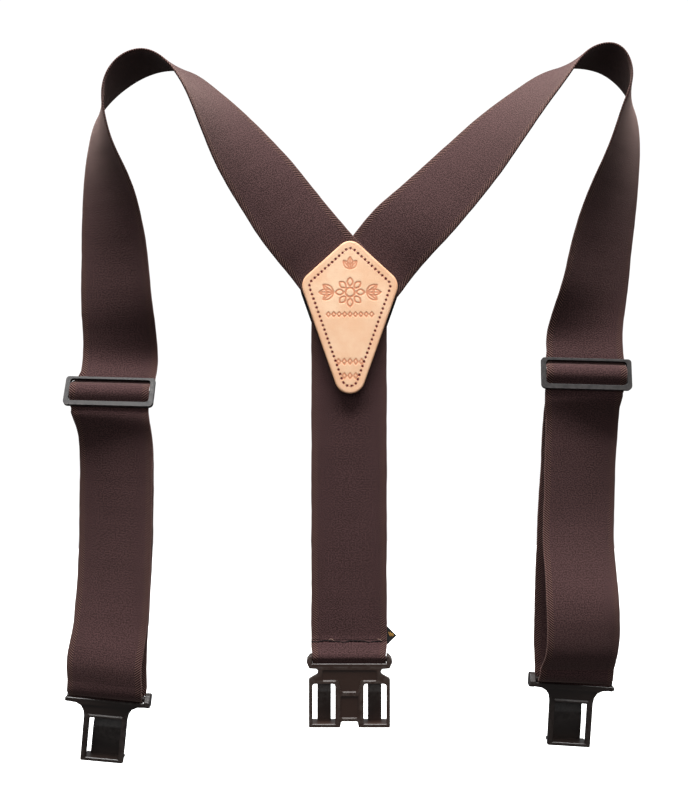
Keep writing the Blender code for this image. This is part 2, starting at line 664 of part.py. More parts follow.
def front_clip(side, inner, joint):
    bottom = -FRONT_CLIP_DEPTH
    half = [(FRONT_CLIP_HALF - 0.3, -0.6, 0.0), (FRONT_CLIP_HALF - 0.3, -3.2, 0.8),
            (24.6, -3.4, 0.0), (20.2, -3.8, 0.0), (17.0, -5.4, 0.0), (15.0, -8.4, 0.0), (14.3, -12.0, 0.0),
            (14.1, bottom, 0.9)]
    top = bottom + FLOOR_THICK + 0.3
    window = mirrored([(10.7, -12.7, 0.8), (10.7, top, 0.0)])
    panel = mirrored([(16.6, -4.6, 0.8), (12.2, -10.6, 0.8)])
    name = side + "_front_clip"
    build_clip(name, joint, mirrored(half), [window], [panel], [(0.0, 11.0, -10.6)], [(0.0, 9.8, -13.8)],
               [(-12.9, 12.9)], front_lugs(name, inner, joint), FRONT_CLIP_DEPTH)


def rear_clip(joint):
    bottom = -REAR_CLIP_DEPTH
    half = [(25.6, -1.5, 0.0), (25.6, -2.6, 0.0), (27.4, -3.0, 0.0), (26.6, -4.65, 0.0), (21.6, -5.0, 0.0),
            (20.6, -6.7, 0.0), (21.6, -8.5, 0.0), (26.9, -11.5, 1.2), (26.9, bottom, 1.0),
            (6.1, bottom, 1.0), (5.4, bottom + 4.0, 1.0)]
    top = bottom + FLOOR_THICK + 0.3
    windows = []
    for end in (-1, 1):
        corners = [(9.4, -14.8, 1.7), (24.5, -14.8, 1.7), (24.5, top, 0.0), (9.4, top, 0.0)]
        windows.append([(end * x, z, radius) for x, z, radius in corners])
    tee = mirrored([(17.8, -5.6, 1.0), (18.6, -12.4, 0.8), (7.6, -12.4, 1.2), (5.6, -19.8, 1.2)])
    square = mirrored([(5.9, -22.8, 0.8), (5.9, -37.0, 0.8)])
    ledges = [(-13.3, 4.2, -12.4), (13.3, 4.2, -12.4), (0.0, 4.2, -19.8), (0.0, 4.8, -37.0)]
    build_clip("rear_clip", joint, mirrored(half), windows, [tee, square], ledges,
               [(-16.95, 4.6, -15.2), (16.95, 4.6, -15.2)], [(-26.7, -6.6), (6.6, 26.7)], rear_lugs(joint),
               REAR_CLIP_DEPTH)


def clip_fold(side, facts, joint):
    path = FOLD_PATH + arc(WRAP_R, 8, 180, 10, (0.0, -FOLD_DROP)) + FOLD_TAIL
    flat_webbing(side + "_fold_webbing", path, lambda up: np.interp(up, FOLD_HEIGHTS, FOLD_HALF), joint,
                 shift=lambda up: FOLD_SHIFT, lean=lambda forward: fold_lean(facts, forward),
                 inner=facts["inner"])


# ---------------------------------------------------------------- crossing and rear strap

def scaled_kite(grow, drop=0.0):
    """The patch's outline moved outwards by `grow` on every side."""
    middle = Vector(PATCH_MIDDLE)
    corners = []
    count = len(PATCH_CORNERS)
    for i, (x, z, radius) in enumerate(PATCH_CORNERS):
        here = Vector((x, z))
        back = (Vector(PATCH_CORNERS[i - 1][:2]) - here).normalized()
        ahead = (Vector(PATCH_CORNERS[(i + 1) % count][:2]) - here).normalized()
        half = acos(back.dot(ahead)) / 2
        away = -(back + ahead).normalized()
        point = here + away * grow / sin(half)
        corners.append((point.x, point.y - drop, max(radius + grow, 1.0)))
    return corners


def crossing():
    patch_mesh = slab([rounded_outline(PATCH_CORNERS, 8)], PATCH_THICK, PATCH_DEPTH)
    patch = new_part("leather_patch", patch_mesh, "leather")
    bevel(patch, 0.7, 2)
    backing = slab([rounded_outline(scaled_kite(1.4, 0.8), 6)], 1.0, BACKING_DEPTH)
    new_part("patch_backing", backing, "backing")
    row = rounded_outline(scaled_kite(-STITCH_INSET), 3)
    depth = PATCH_DEPTH + PATCH_THICK / 2 + 0.6
    thread("patch_stitching", [(p.x, depth, p.y) for p in row], 0.3, "thread", closed=True)


def rear_strap():
    flat_webbing("rear_webbing", REAR_PATH, spacing=12.0)
    wrap = arc(REAR_WRAP_R, HEM_TURN, 180, 12, (REAR_BAR[1], REAR_WRAP_Z))
    flat_webbing("rear_fold_webbing", HEM_PATH + wrap + HEM_TAIL,
                 lambda up: np.interp(up, HEM_HEIGHTS, HEM_HALF), spacing=1.5)
    row = [(x, 6.85 + WEB_THICK / 2 + 0.6, HEM_STITCH_Z) for x in (-25.0, 25.0)]
    thread("hem_stitching", row, 0.3, "dark_thread")
    x, depth, z = TAG_CENTRE
    reach = TAG_HALF_DIAGONAL
    diamond = [(x + reach, z), (x, z + reach), (x - reach, z), (x, z - reach)]
    new_part("label_tag", slab([diamond], TAG_THICK, depth), "tag")
    joint = joint_empty("rear_clip_joint", REAR_BAR)
    rear_clip(joint)


crossing()
rear_strap()
for side_name, side_facts in SIDES.items():
    shoulder_webbing(side_name, side_facts)
    loop_webbing(side_name, side_facts)
    slide_parts(side_name, side_facts)
    clip_joint = joint_empty(side_name + "_clip_joint", side_facts["bar"], 0.0, side_facts["roll"])
    clip_fold(side_name, side_facts, clip_joint)
    front_clip(side_name, side_facts["inner"], clip_joint)
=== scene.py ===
"""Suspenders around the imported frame: woven elastic webbing, leather patch, slides and clips."""

from math import acos, atan2, cos, pi, radians, sin

import bmesh
import bpy
import numpy as np
from mathutils import Matrix, Vector


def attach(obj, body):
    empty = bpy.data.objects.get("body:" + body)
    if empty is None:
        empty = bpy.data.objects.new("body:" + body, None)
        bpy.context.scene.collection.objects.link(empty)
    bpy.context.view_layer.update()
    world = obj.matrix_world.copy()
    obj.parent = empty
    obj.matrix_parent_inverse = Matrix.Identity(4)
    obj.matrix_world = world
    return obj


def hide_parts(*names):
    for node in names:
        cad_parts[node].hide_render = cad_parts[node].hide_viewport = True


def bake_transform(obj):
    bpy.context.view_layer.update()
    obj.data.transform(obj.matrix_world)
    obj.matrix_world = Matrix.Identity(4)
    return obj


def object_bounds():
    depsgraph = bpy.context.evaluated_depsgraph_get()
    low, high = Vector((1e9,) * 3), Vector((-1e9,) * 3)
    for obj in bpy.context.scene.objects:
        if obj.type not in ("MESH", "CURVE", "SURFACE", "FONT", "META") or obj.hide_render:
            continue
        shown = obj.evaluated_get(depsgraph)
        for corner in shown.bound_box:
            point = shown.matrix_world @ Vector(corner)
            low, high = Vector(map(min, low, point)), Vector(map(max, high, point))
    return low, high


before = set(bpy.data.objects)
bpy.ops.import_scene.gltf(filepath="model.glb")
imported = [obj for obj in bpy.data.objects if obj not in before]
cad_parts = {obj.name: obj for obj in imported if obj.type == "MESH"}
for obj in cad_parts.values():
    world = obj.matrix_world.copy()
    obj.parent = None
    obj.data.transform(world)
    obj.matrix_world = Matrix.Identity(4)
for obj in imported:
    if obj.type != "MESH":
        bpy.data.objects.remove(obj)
cad_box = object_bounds()
MM = 0.001

# ---------------------------------------------------------------- camera, lights, floor


CAMERA_PLACE = (-0.0034, -0.680, -0.215)
CAMERA_LENS, CAMERA_SENSOR = 45.4, 36.0
BACKDROP = (1.0, 1.0, 1.0, 1.0)
BACKDROP_STRENGTH = 1.05
SKY = (0.97, 0.98, 1.0, 1.0)
SKY_HEIGHTS = (-0.6, 0.8)
SKY_STRENGTHS = (0.03, 0.54)
FLOOR_RADIUS, FLOOR_DROP = 1.6, 0.08
PAPER = (0.95, 0.95, 0.94, 1.0)
PAPER_GLOW = 0.8


def area_light(name, place, aim, size, power):
    data = bpy.data.lights.new(name, "AREA")
    data.shape = "RECTANGLE"
    data.size, data.size_y = size
    data.energy = power
    lamp = bpy.data.objects.new(name, data)
    lamp.location = place
    lamp.rotation_euler = (Vector(aim) - Vector(place)).to_track_quat("-Z", "Y").to_euler()
    bpy.context.scene.collection.objects.link(lamp)


def add_camera(scene):
    camera = bpy.data.objects.new("camera", bpy.data.cameras.new("camera"))
    camera.location = CAMERA_PLACE
    camera.rotation_euler = (pi / 2, 0.0, 0.0)
    camera.data.lens = CAMERA_LENS
    camera.data.sensor_width = CAMERA_SENSOR
    scene.collection.objects.link(camera)
    scene.camera = camera


def add_world(scene):
    """White behind the object, and a soft sky that grows brighter upwards as light."""
    world = bpy.data.worlds.new("studio")
    scene.world = world
    world.use_nodes = True
    tree = world.node_tree
    tree.nodes.clear()
    seen = tree.nodes.new("ShaderNodeBackground")
    seen.inputs["Color"].default_value = BACKDROP
    seen.inputs["Strength"].default_value = BACKDROP_STRENGTH
    fill = tree.nodes.new("ShaderNodeBackground")
    fill.inputs["Color"].default_value = SKY
    split = tree.nodes.new("ShaderNodeSeparateXYZ")
    rise = tree.nodes.new("ShaderNodeMapRange")
    for socket, number in zip(rise.inputs, (0.0, *SKY_HEIGHTS, *SKY_STRENGTHS)):
        socket.default_value = number
    tree.links.new(tree.nodes.new("ShaderNodeTexCoord").outputs["Generated"], split.inputs[0])
    tree.links.new(split.outputs[2], rise.inputs[0])
    tree.links.new(rise.outputs[0], fill.inputs["Strength"])
    ray = tree.nodes.new("ShaderNodeLightPath")
    mix = tree.nodes.new("ShaderNodeMixShader")
    out = tree.nodes.new("ShaderNodeOutputWorld")
    tree.links.new(ray.outputs["Is Camera Ray"], mix.inputs[0])
    tree.links.new(fill.outputs[0], mix.inputs[1])
    tree.links.new(seen.outputs[0], mix.inputs[2])
    tree.links.new(mix.outputs[0], out.inputs["Surface"])


def add_floor(scene):
    bm = bmesh.new()
    bmesh.ops.create_circle(bm, cap_ends=True, segments=96, radius=FLOOR_RADIUS)
    mesh = bpy.data.meshes.new("floor")
    bm.to_mesh(mesh)
    bm.free()
    floor = bpy.data.objects.new("floor", mesh)
    floor.location = (0.0, 0.0, cad_box[0][2] - FLOOR_DROP)
    scene.collection.objects.link(floor)
    paper = bpy.data.materials.new("paper")
    paper.use_nodes = True
    shader = paper.node_tree.nodes["Principled BSDF"]
    shader.inputs["Base Color"].default_value = PAPER
    shader.inputs["Roughness"].default_value = 0.95
    shader.inputs["Emission Color"].default_value = (1.0, 1.0, 1.0, 1.0)
    shader.inputs["Emission Strength"].default_value = PAPER_GLOW
    mesh.materials.append(paper)
    floor.visible_diffuse = False
    floor.visible_glossy = False


def studio():
    scene = bpy.context.scene
    scene.view_settings.view_transform = "Standard"
    add_camera(scene)
    add_world(scene)
    area_light("top_softbox", (0.0, -0.45, 1.3), (0.0, 0.0, -0.1), (1.3, 0.7), 66.0)
    area_light("front_fill", (-0.3, -1.7, 0.5), (0.0, 0.0, -0.2), (1.4, 1.0), 4.0)
    add_floor(scene)


studio()

# ---------------------------------------------------------------- material nodes


class Nodes:
    """Short names for the nodes of one material."""

    def __init__(self, name):
        self.material = bpy.data.materials.new(name)
        self.material.use_nodes = True
        self.tree = self.material.node_tree
        self.shader = self.tree.nodes["Principled BSDF"]

    def new(self, kind, **settings):
        node = self.tree.nodes.new("ShaderNode" + kind)
        for key, value in settings.items():
            setattr(node, key, value)
        return node

    def feed(self, socket, value):
        if isinstance(value, bpy.types.NodeSocket):
            self.tree.links.new(value, socket)
        elif value is not None:
            socket.default_value = value

    def math(self, operation, *values, clamp=False):
        node = self.new("Math", operation=operation, use_clamp=clamp)
        for socket, value in zip(node.inputs, values):
            self.feed(socket, value)
        return node.outputs[0]

    def wave(self, phase):
        """Smooth wave from 0 to 1, once for each unit of phase."""
        turned = self.math("MULTIPLY", phase, 2 * pi)
        return self.math("MULTIPLY_ADD", self.math("SINE", turned), 0.5, 0.5)

    def step(self, value, low, high, to_low=0.0, to_high=1.0):
        node = self.new("MapRange", interpolation_type="SMOOTHSTEP")
        for socket, number in zip(node.inputs, (value, low, high, to_low, to_high)):
            self.feed(socket, number)
        return node.outputs[0]

    def noise(self, vector, scale, detail=2.0, roughness=0.5):
        node = self.new("TexNoise")
        self.feed(node.inputs["Vector"], vector)
        node.inputs["Scale"].default_value = scale
        node.inputs["Detail"].default_value = detail
        node.inputs["Roughness"].default_value = roughness
        return node.outputs["Fac"]

    def vector(self, x=0.0, y=0.0, z=0.0):
        node = self.new("CombineXYZ")
        for socket, value in zip(node.inputs, (x, y, z)):
            self.feed(socket, value)
        return node.outputs[0]

    def uv(self):
        """Place across and along a strap, in metres."""
        node = self.new("UVMap", uv_map="strap")
        split = self.new("SeparateXYZ")
        self.feed(split.inputs[0], node.outputs[0])
        return split.outputs[0], split.outputs[1]

    def place(self):
        return self.new("TexCoord").outputs["Object"]

    def attribute(self, name):
        return self.new("Attribute", attribute_name=name).outputs["Fac"]

    def mix(self, factor, a, b):
        node = self.new("Mix", data_type="RGBA")
        self.feed(node.inputs[0], factor)
        for socket, value in ((node.inputs[6], a), (node.inputs[7], b)):
            self.feed(socket, value if isinstance(value, bpy.types.NodeSocket) else (*value, 1.0))
        return node.outputs[2]

    def bump(self, height, distance, strength=1.0, normal=None):
        node = self.new("Bump")
        node.inputs["Strength"].default_value = strength
        node.inputs["Distance"].default_value = distance * MM
        self.feed(node.inputs["Height"], height)
        self.feed(node.inputs["Normal"], normal)
        return node.outputs[0]

    def finish(self, colour, roughness, normal=None, **fixed):
        self.feed(self.shader.inputs["Base Color"], colour)
        self.feed(self.shader.inputs["Roughness"], roughness)
        self.feed(self.shader.inputs["Normal"], normal)
        for name, value in fixed.items():
            self.shader.inputs[name.replace("_", " ")].default_value = value
        return self.material


TWILL_PITCH, TWILL_SLANT = 1.25, 0.95
HERRING_PITCH, HERRING_SLANT = 1.55, 2.1
RIB_PITCH = 1.7
BORDER_FROM, BORDER_TO = 21.0, 21.3
RIM_FROM, RIM_TO = 24.6, 25.1
YARN_DARK, YARN_LIGHT = (0.0080, 0.0032, 0.0034), (0.0985, 0.0500, 0.0500)
BORDER_DARK, BORDER_LIGHT = (0.0050, 0.0019, 0.0021), (0.185, 0.098, 0.085)
YARN_FADED = (0.070, 0.034, 0.035)
YARN_SHEEN = (1.0, 0.72, 0.64, 1.0)


def webbing_material():
    """Twill elastic with fine cross ribs, flecked yarn and herringbone selvedges."""
    n = Nodes("webbing")
    u, v = n.uv()
    across = n.math("MULTIPLY", u, 1 / MM)
    along = n.math("MULTIPLY", v, 1 / MM)

    def speckle(wide, long, detail=2.0):
        spot = n.vector(n.math("MULTIPLY", across, wide), n.math("MULTIPLY", along, long))
        return n.noise(spot, 1.0, detail)

    side = n.math("ABSOLUTE", across)
    edge = n.step(side, BORDER_FROM, BORDER_TO)
    slant = n.math("ADD", n.math("DIVIDE", along, HERRING_PITCH), n.math("DIVIDE", side, HERRING_SLANT))
    herring = n.math("POWER", n.wave(slant), 2.4)
    rim = n.step(side, RIM_FROM, RIM_TO)
    herring = n.math("ADD", herring, n.math("MULTIPLY", rim, 0.15), clamp=True)
    twill = n.wave(n.math("ADD", n.math("DIVIDE", along, TWILL_PITCH), n.math("DIVIDE", across, TWILL_SLANT)))
    ribs = n.wave(n.math("DIVIDE", along, RIB_PITCH))
    fleck = n.step(speckle(1.05, 1.35, 1.0), 0.42, 0.58)
    body = n.math("ADD", n.math("MULTIPLY", twill, 0.46), n.math("MULTIPLY", ribs, 0.08))
    body = n.math("ADD", body, n.math("MULTIPLY", fleck, 0.46))
    relief = n.new("Mix", data_type="FLOAT")
    for socket, value in zip(relief.inputs[:4], (edge, None, body, herring)):
        n.feed(socket, value)
    height = relief.outputs[0]
    colour = n.mix(edge, n.mix(body, YARN_DARK, YARN_LIGHT), n.mix(herring, BORDER_DARK, BORDER_LIGHT))
    colour = n.mix(n.step(speckle(0.06, 0.035), 0.3, 0.7, 0.0, 0.14), colour, YARN_FADED)
    bump = n.bump(speckle(6.0, 3.0), 0.08, 0.4, n.bump(height, 0.16, 0.8))
    return n.finish(colour, n.math("MULTIPLY_ADD", height, -0.10, 0.92), bump,
                    Specular_IOR_Level=0.10, Sheen_Weight=0.30, Sheen_Roughness=0.45, Sheen_Tint=YARN_SHEEN)


LEATHER_DARK, LEATHER_LIGHT = (0.87, 0.525, 0.320), (0.93, 0.640, 0.425)
LEATHER_STREAK = (0.84, 0.46, 0.27)
LEATHER_PRESSED = (0.68, 0.27, 0.145)
LEATHER_BURNISHED = (0.62, 0.27, 0.135)
LEATHER_HOLE = (0.125, 0.002, 0.004)


def leather_material():
    """Vegetable-tanned leather: pores, faint mottling, pressed lines and needle holes."""
    n = Nodes("leather")
    place = n.place()
    mottle = n.noise(place, 60.0, 4.0, 0.6)
    streak = n.noise(place, 220.0, 3.0, 0.6)
    pores = n.new("TexVoronoi", feature="F1")
    n.feed(pores.inputs["Vector"], place)
    pores.inputs["Scale"].default_value = 1500.0
    pore = n.step(pores.outputs["Distance"], 0.05, 0.35)
    colour = n.mix(n.step(mottle, 0.3, 0.72), LEATHER_DARK, LEATHER_LIGHT)
    colour = n.mix(n.step(streak, 0.5, 0.75, 0.0, 0.22), colour, LEATHER_STREAK)
    colour = n.mix(n.attribute("press"), colour, LEATHER_PRESSED)
    colour = n.mix(n.math("MULTIPLY", n.attribute("burnish"), 0.55, clamp=True), colour, LEATHER_BURNISHED)
    colour = n.mix(n.math("MULTIPLY", n.attribute("hole"), 2.2, clamp=True), colour, LEATHER_HOLE)
    bump = n.bump(pore, 0.10, 0.25, n.bump(streak, 0.25, 0.25))
    roughness = n.math("MULTIPLY_ADD", mottle, 0.25, 0.36)
    return n.finish(colour, roughness, bump, Specular_IOR_Level=0.4)


def thread_material(name, dark, light, pitch=1.1, sheen=0.2):
    """Twisted sewing thread."""
    n = Nodes(name)
    place = n.new("SeparateXYZ")
    n.feed(place.inputs[0], n.place())
    twist = n.math("ADD", place.outputs[0], place.outputs[2])
    ply = n.wave(n.math("MULTIPLY", twist, 1 / MM / pitch))
    colour = n.mix(ply, dark, light)
    return n.finish(colour, 0.80, n.bump(ply, 0.12, 0.6), Sheen_Weight=sheen, Specular_IOR_Level=0.2)


def plastic_material(name, base, light, roughness):
    """Moulded plastic: fine matt grain, slow colour drift, and sharp edges painted lighter, partly as wear
    and partly as a painted highlight.
    """
    n = Nodes(name)
    place = n.place()
    grain = n.noise(place, 2700.0, 3.0, 0.6)
    drift = n.noise(place, 55.0, 3.0)
    # Sharp edges (high pointiness) are painted lighter where the scuff noise allows: partly wear, partly a
    # painted edge highlight.
    edge_wear_and_highlight = n.step(n.new("NewGeometry").outputs["Pointiness"], 0.505, 0.56)
    scuff = n.noise(place, 330.0, 4.0, 0.7)
    edge_wear_and_highlight = n.math("MULTIPLY", edge_wear_and_highlight, n.step(scuff, 0.35, 0.6))
    colour = n.mix(n.step(drift, 0.35, 0.7, 0.0, 0.5), base, tuple(1.25 * c for c in base))
    colour = n.mix(n.math("MULTIPLY", edge_wear_and_highlight, 0.6), colour, light)
    rough = n.math("MULTIPLY_ADD", n.math("SUBTRACT", scuff, 0.5), 0.22, roughness)
    bump = n.bump(grain, 0.05, 0.5)
    return n.finish(colour, rough, bump, Specular_IOR_Level=0.5)


def cloth_material(name, dark, light, pitch):
    """Plain woven cloth for small flat pieces."""
    n = Nodes(name)
    place = n.new("SeparateXYZ")
    n.feed(place.inputs[0], n.place())
    warp = n.wave(n.math("MULTIPLY", place.outputs[0], 1 / MM / pitch))
    weft = n.wave(n.math("MULTIPLY", place.outputs[2], 1 / MM / pitch))
    weave = n.math("MULTIPLY", warp, weft)
    fuzz = n.noise(n.place(), 1800.0)
    colour = n.mix(n.math("MULTIPLY", weave, fuzz), dark, light)
    return n.finish(colour, 0.85, n.bump(weave, 0.1, 0.7), Sheen_Weight=0.15)


WEBBING = webbing_material()
LEATHER = leather_material()
TAN_THREAD = thread_material("tan_thread", (0.62, 0.27, 0.16), (0.84, 0.48, 0.31))
DARK_THREAD = thread_material("dark_thread", (0.003, 0.002, 0.002), (0.012, 0.007, 0.007), sheen=0.0)
LINT = thread_material("pale_thread", (0.22, 0.13, 0.10), (0.42, 0.28, 0.22))
SLIDE_PLASTIC = plastic_material("slide_plastic", (0.0108, 0.0086, 0.0084), (0.110, 0.096, 0.091), 0.50)
CLIP_PLASTIC = plastic_material("clip_plastic", (0.0290, 0.0142, 0.0098), (0.075, 0.060, 0.052), 0.38)
FRONT_CLIP_PLASTIC = plastic_material("front_clip_plastic", (0.0125, 0.0070, 0.0054), (0.050, 0.040, 0.036),
                                      0.38)
BACKING = cloth_material("backing", (0.012, 0.010, 0.010), (0.03, 0.026, 0.025), 0.6)
TAG_CLOTH = cloth_material("tag_cloth", (0.006, 0.006, 0.006), (0.022, 0.02, 0.019), 0.5)
GOLD_THREAD = thread_material("gold_thread", (0.42, 0.19, 0.02), (0.70, 0.38, 0.06), 0.7)

# ---------------------------------------------------------------- shapes shared by the pieces

WEB_WIDTH = 50.8
WEB_THICK = 1.5
WEB_ACROSS = [0.0, 6.0, 12.0, 18.0, 20.9, 21.6, 23.4, 24.6, 25.15, 25.4]
WEB_HALF_THICK = [0.75, 0.75, 0.75, 0.74, 0.69, 0.73, 0.74, 0.66, 0.52, 0.28]
SELVEDGE_FROM, SELVEDGE_WIDTH = 20.0, 5.4
SCALLOP = 0.16
RAGGED_LENGTH, SWELL_LENGTH, WAVER = 46.0, 60.0, 0.10
CLIP_BAR_R = 1.9
GAP = 0.3
WRAP_R = CLIP_BAR_R + GAP + WEB_THICK / 2
SLIDE_ROLL = 1.5
PATCH_CORNERS = [(0.7, -105.9, 9.5), (-33.0, -136.3, 10.0), (0.5, -231.2, 10.2), (34.0, -136.5, 10.0)]
PATCH_MIDDLE = (0.6, -152.0)
PATCH_BACK, PATCH_FRONT = 7.4, 9.8
SIDES = {
    "left": {"inner": 1, "slide": (-158.0, 14.0, -209.0), "tilt": 26.0, "bar": (-159.3, 9.0, -412.1),
             "roll": 5.3, "lean": 3.5, "drift": 3.6},
    "right": {"inner": -1, "slide": (155.2, 19.5, -197.2), "tilt": 13.0, "bar": (147.2, 8.0, -402.1),
              "roll": 3.6, "lean": 5.5, "drift": 0.0},
}
SHOULDERS = {
    "left": [
        (-10.5, 6.05, -170.0, 17.0, 6.05, -121.8),
        (-28.8, 6.15, -146.4, 11.0, 6.05, -113.9),
        (-38.0, 6.9, -134.5, 0.5, 5.95, -102.6),
        (-52.0, 12.5, -117.5, -14.0, 4.2, -85.5),
        (-72.0, 22.7, -88.0, -37.0, 3.2, -57.0),
        (-88.5, 36.9, -57.3, -62.5, 2.8, -30.0),
        (-101.0, 50.0, -24.3, -90.8, 3.9, -5.6),
        (-110.3, 54.0, -8.5, -106.8, 4.7, 4.0),
        (-125.5, 55.3, 2.1, -125.4, 4.6, 4.8),
        (-142.8, 55.2, -2.2, -142.7, 4.4, -2.1),
        (-152.8, 54.6, -18.0, -157.6, 4.4, -13.5),
        (-152.7, 52.0, -36.0, -169.0, 4.4, -28.3),
        (-148.3, 46.7, -53.5, -174.3, 3.9, -46.0),
        (-141.6, 39.4, -69.3, -177.2, 3.4, -64.5),
        (-136.5, 32.0, -85.6, -178.6, 3.2, -83.4),
        (-131.7, 20.7, -121.1, -179.5, 3.2, -121.0),
        (-129.3, 12.6, -157.6, -179.3, 3.4, -158.5),
    ],
    "right": [
        (17.7, 4.2, -165.1, -3.0, 4.2, -112.0),
        (36.0, 4.4, -141.4, 3.0, 4.2, -104.1),
        (44.2, 6.6, -130.8, 11.8, 3.9, -93.0),
        (58.5, 15.0, -115.0, 27.6, 2.6, -77.6),
        (83.5, 27.8, -86.8, 55.8, 2.4, -52.9),
        (105.3, 40.0, -57.6, 84.0, 4.6, -28.1),
        (125.9, 50.5, -27.3, 114.6, 5.9, -5.8),
        (136.9, 54.5, -12.3, 131.1, 6.4, 3.4),
        (149.3, 57.0, 2.2, 149.9, 6.3, 6.6),
        (166.2, 57.7, 4.0, 168.0, 7.0, 2.7),
        (174.5, 57.8, -12.3, 182.4, 7.9, -9.6),
        (170.2, 55.1, -30.1, 190.7, 8.7, -26.6),
        (164.8, 50.9, -47.8, 193.1, 8.7, -45.5),
        (158.7, 45.4, -65.0, 192.9, 7.9, -64.6),
        (152.2, 38.9, -81.2, 191.7, 7.1, -83.6),
        (142.7, 29.0, -116.4, 187.8, 6.9, -121.7),
        (136.5, 22.6, -145.4, 184.6, 7.6, -150.2),
    ],
}
SPLIT_STATION = 14
LOOP_FRONT = {
    "left": [
        (-155.2, 13.0, -236.0, 6.0), (-155.0, 9.2, -253.0, 9.0), (-155.4, 8.4, -275.0, 9.0),
        (-155.6, 8.8, -302.0, 10.0), (-156.0, 11.4, -338.0, 10.0), (-158.2, 17.0, -370.0, 8.0),
        (-160.4, 20.8, -390.0, 8.0),
    ],
    "right": [
        (153.9, 14.8, -223.0, 8.0), (153.5, 11.4, -249.0, 12.0), (152.8, 11.2, -276.0, 13.0),
        (151.6, 14.0, -306.0, 13.0), (151.5, 21.5, -330.0, 13.0), (151.5, 27.6, -349.0, 12.0),
        (151.6, 27.8, -369.0, 13.0), (150.6, 24.6, -383.0, 13.0),
    ],
}
LOOP_BACK = {
    "left": [
        (-155.8, 7.6, -240.0, 5.0), (-155.4, 4.6, -258.0, 7.0), (-156.0, 3.7, -300.0, 6.0),
        (-158.5, 3.5, -350.0, 4.0), (-160.6, 4.6, -388.0, 1.0),
    ],
    "right": [
        (153.6, 9.6, -226.0, 7.0), (152.6, 5.6, -250.0, 10.0), (150.6, 4.9, -290.0, 9.0),
        (149.4, 4.2, -335.0, 6.0), (149.0, 3.9, -372.0, 2.0),
    ],
}
# The webbing in a slide, as (forward, up) points of the slide's frame, its half width and its place across
SLIDING_PATH = [(-2.7, 15.0), (-2.5, 11.5), (-2.6, 9.4), (-2.45, 8.0), (-1.55, 6.4), (0.1, 4.9), (1.5, 3.5),
                (2.35, 1.8), (2.6, 0.0), (2.35, -1.8), (1.5, -3.5), (0.1, -5.2), (-1.3, -6.6), (-2.2, -8.0),
                (-2.45, -9.4), (-2.4, -11.5), (-2.4, -13.5)]
SLIDING_HEIGHTS = [-13.5, -9.6, -6.9, -4.6, 4.6, 6.9, 9.6, 15.0, 22.0]
SLIDING_SHIFT = [1.4, 0.4, 0.0, 0.0, 0.0, 0.0, 0.0, 0.0, 0.0]
SLIDING_DRIFT = [0.0, 0.0, 0.0, 0.0, 0.0, 0.03, 0.7, 1.0, 1.0]
SLIDING_HALF = [25.4, 26.0, 26.35, 26.35, 26.35, 26.35, 26.0, 25.4, 25.4]
SLIDE_ENTRY = (-2.9, 22.0)
SLIDE_EXIT = (-2.4, -9.4)
SEWN_END_PATH = [(-4.3, -10.6), (-4.3, -8.4), (-4.0, -6.4), (-2.15, -3.7), (-0.05, -1.65),
                 (0.55, 0.0), (0.1, 1.45), (-0.9, 2.3), (-2.0, 2.55), (-3.2, 2.25), (-4.2, 1.3),
                 (-4.85, -0.5), (-5.55, -4.0), (-6.1, -7.5), (-6.3, -10.0), (-6.8, -13.2)]
# The fold round a front clip's bar, as (forward, up) points of the clip's frame
FOLD_PATH = [(10.8, 10.9), (10.4, 7.2), (9.3, 3.9), (7.0, 1.6), (4.6, 0.95), (3.35, -0.1)]
FOLD_DROP = 0.6
FOLD_TAIL = [(-WRAP_R - 0.1, 2.4), (-WRAP_R - 0.5, 7.4)]
FOLD_SHIFT = -1.8
FOLD_HEIGHTS = [0.6, 3.0]
FOLD_HALF = [24.0, 25.4]
LEAN_FORWARD = [3.3, 10.8]
# The rear strap's middle line as (depth, z)
REAR_PATH = [(2.35, -131.0), (2.35, -160.0), (2.35, -205.0), (3.0, -250.0), (4.2, -310.0), (5.3, -350.0),
             (5.6, -368.5)]
HEM_PATH = [(5.6, -368.9), (5.9, -373.5), (7.7, -378.5), (9.9, -382.3), (11.2, -385.0), (11.0, -386.8),
            (9.9, -388.05)]
HEM_TURN = 10
HEM_TAIL = [(2.85, -385.0), (2.45, -378.0), (2.4, -370.5)]
REAR_WRAP_R, REAR_WRAP_DEPTH, REAR_WRAP_Z = 3.0, 6.0, -389.1
HEM_HEIGHTS = [-384.6, -379.0]
HEM_HALF = [24.5, 25.4]
HEM_STITCH_Z = -375.9
HEM_SLOPE = 0.36
HEM_GROOVE = (0.50, 0.8)
HEM_PITCH, HEM_ROW = 2.85, 48.0
TAG_CENTRE = (25.6, 4.1, -372.7)
TAG_HALF_DIAGONAL = 6.2
STITCH_INSET = 5.0
STITCH_PITCH = 3.1
STITCH_GAP = 0.55
STITCH_REACH = 2.6
END_ROW_PLACE = (-7.05, -9.0)
END_PITCH, END_ROW = 3.0, 44.0
ROW = 0.5


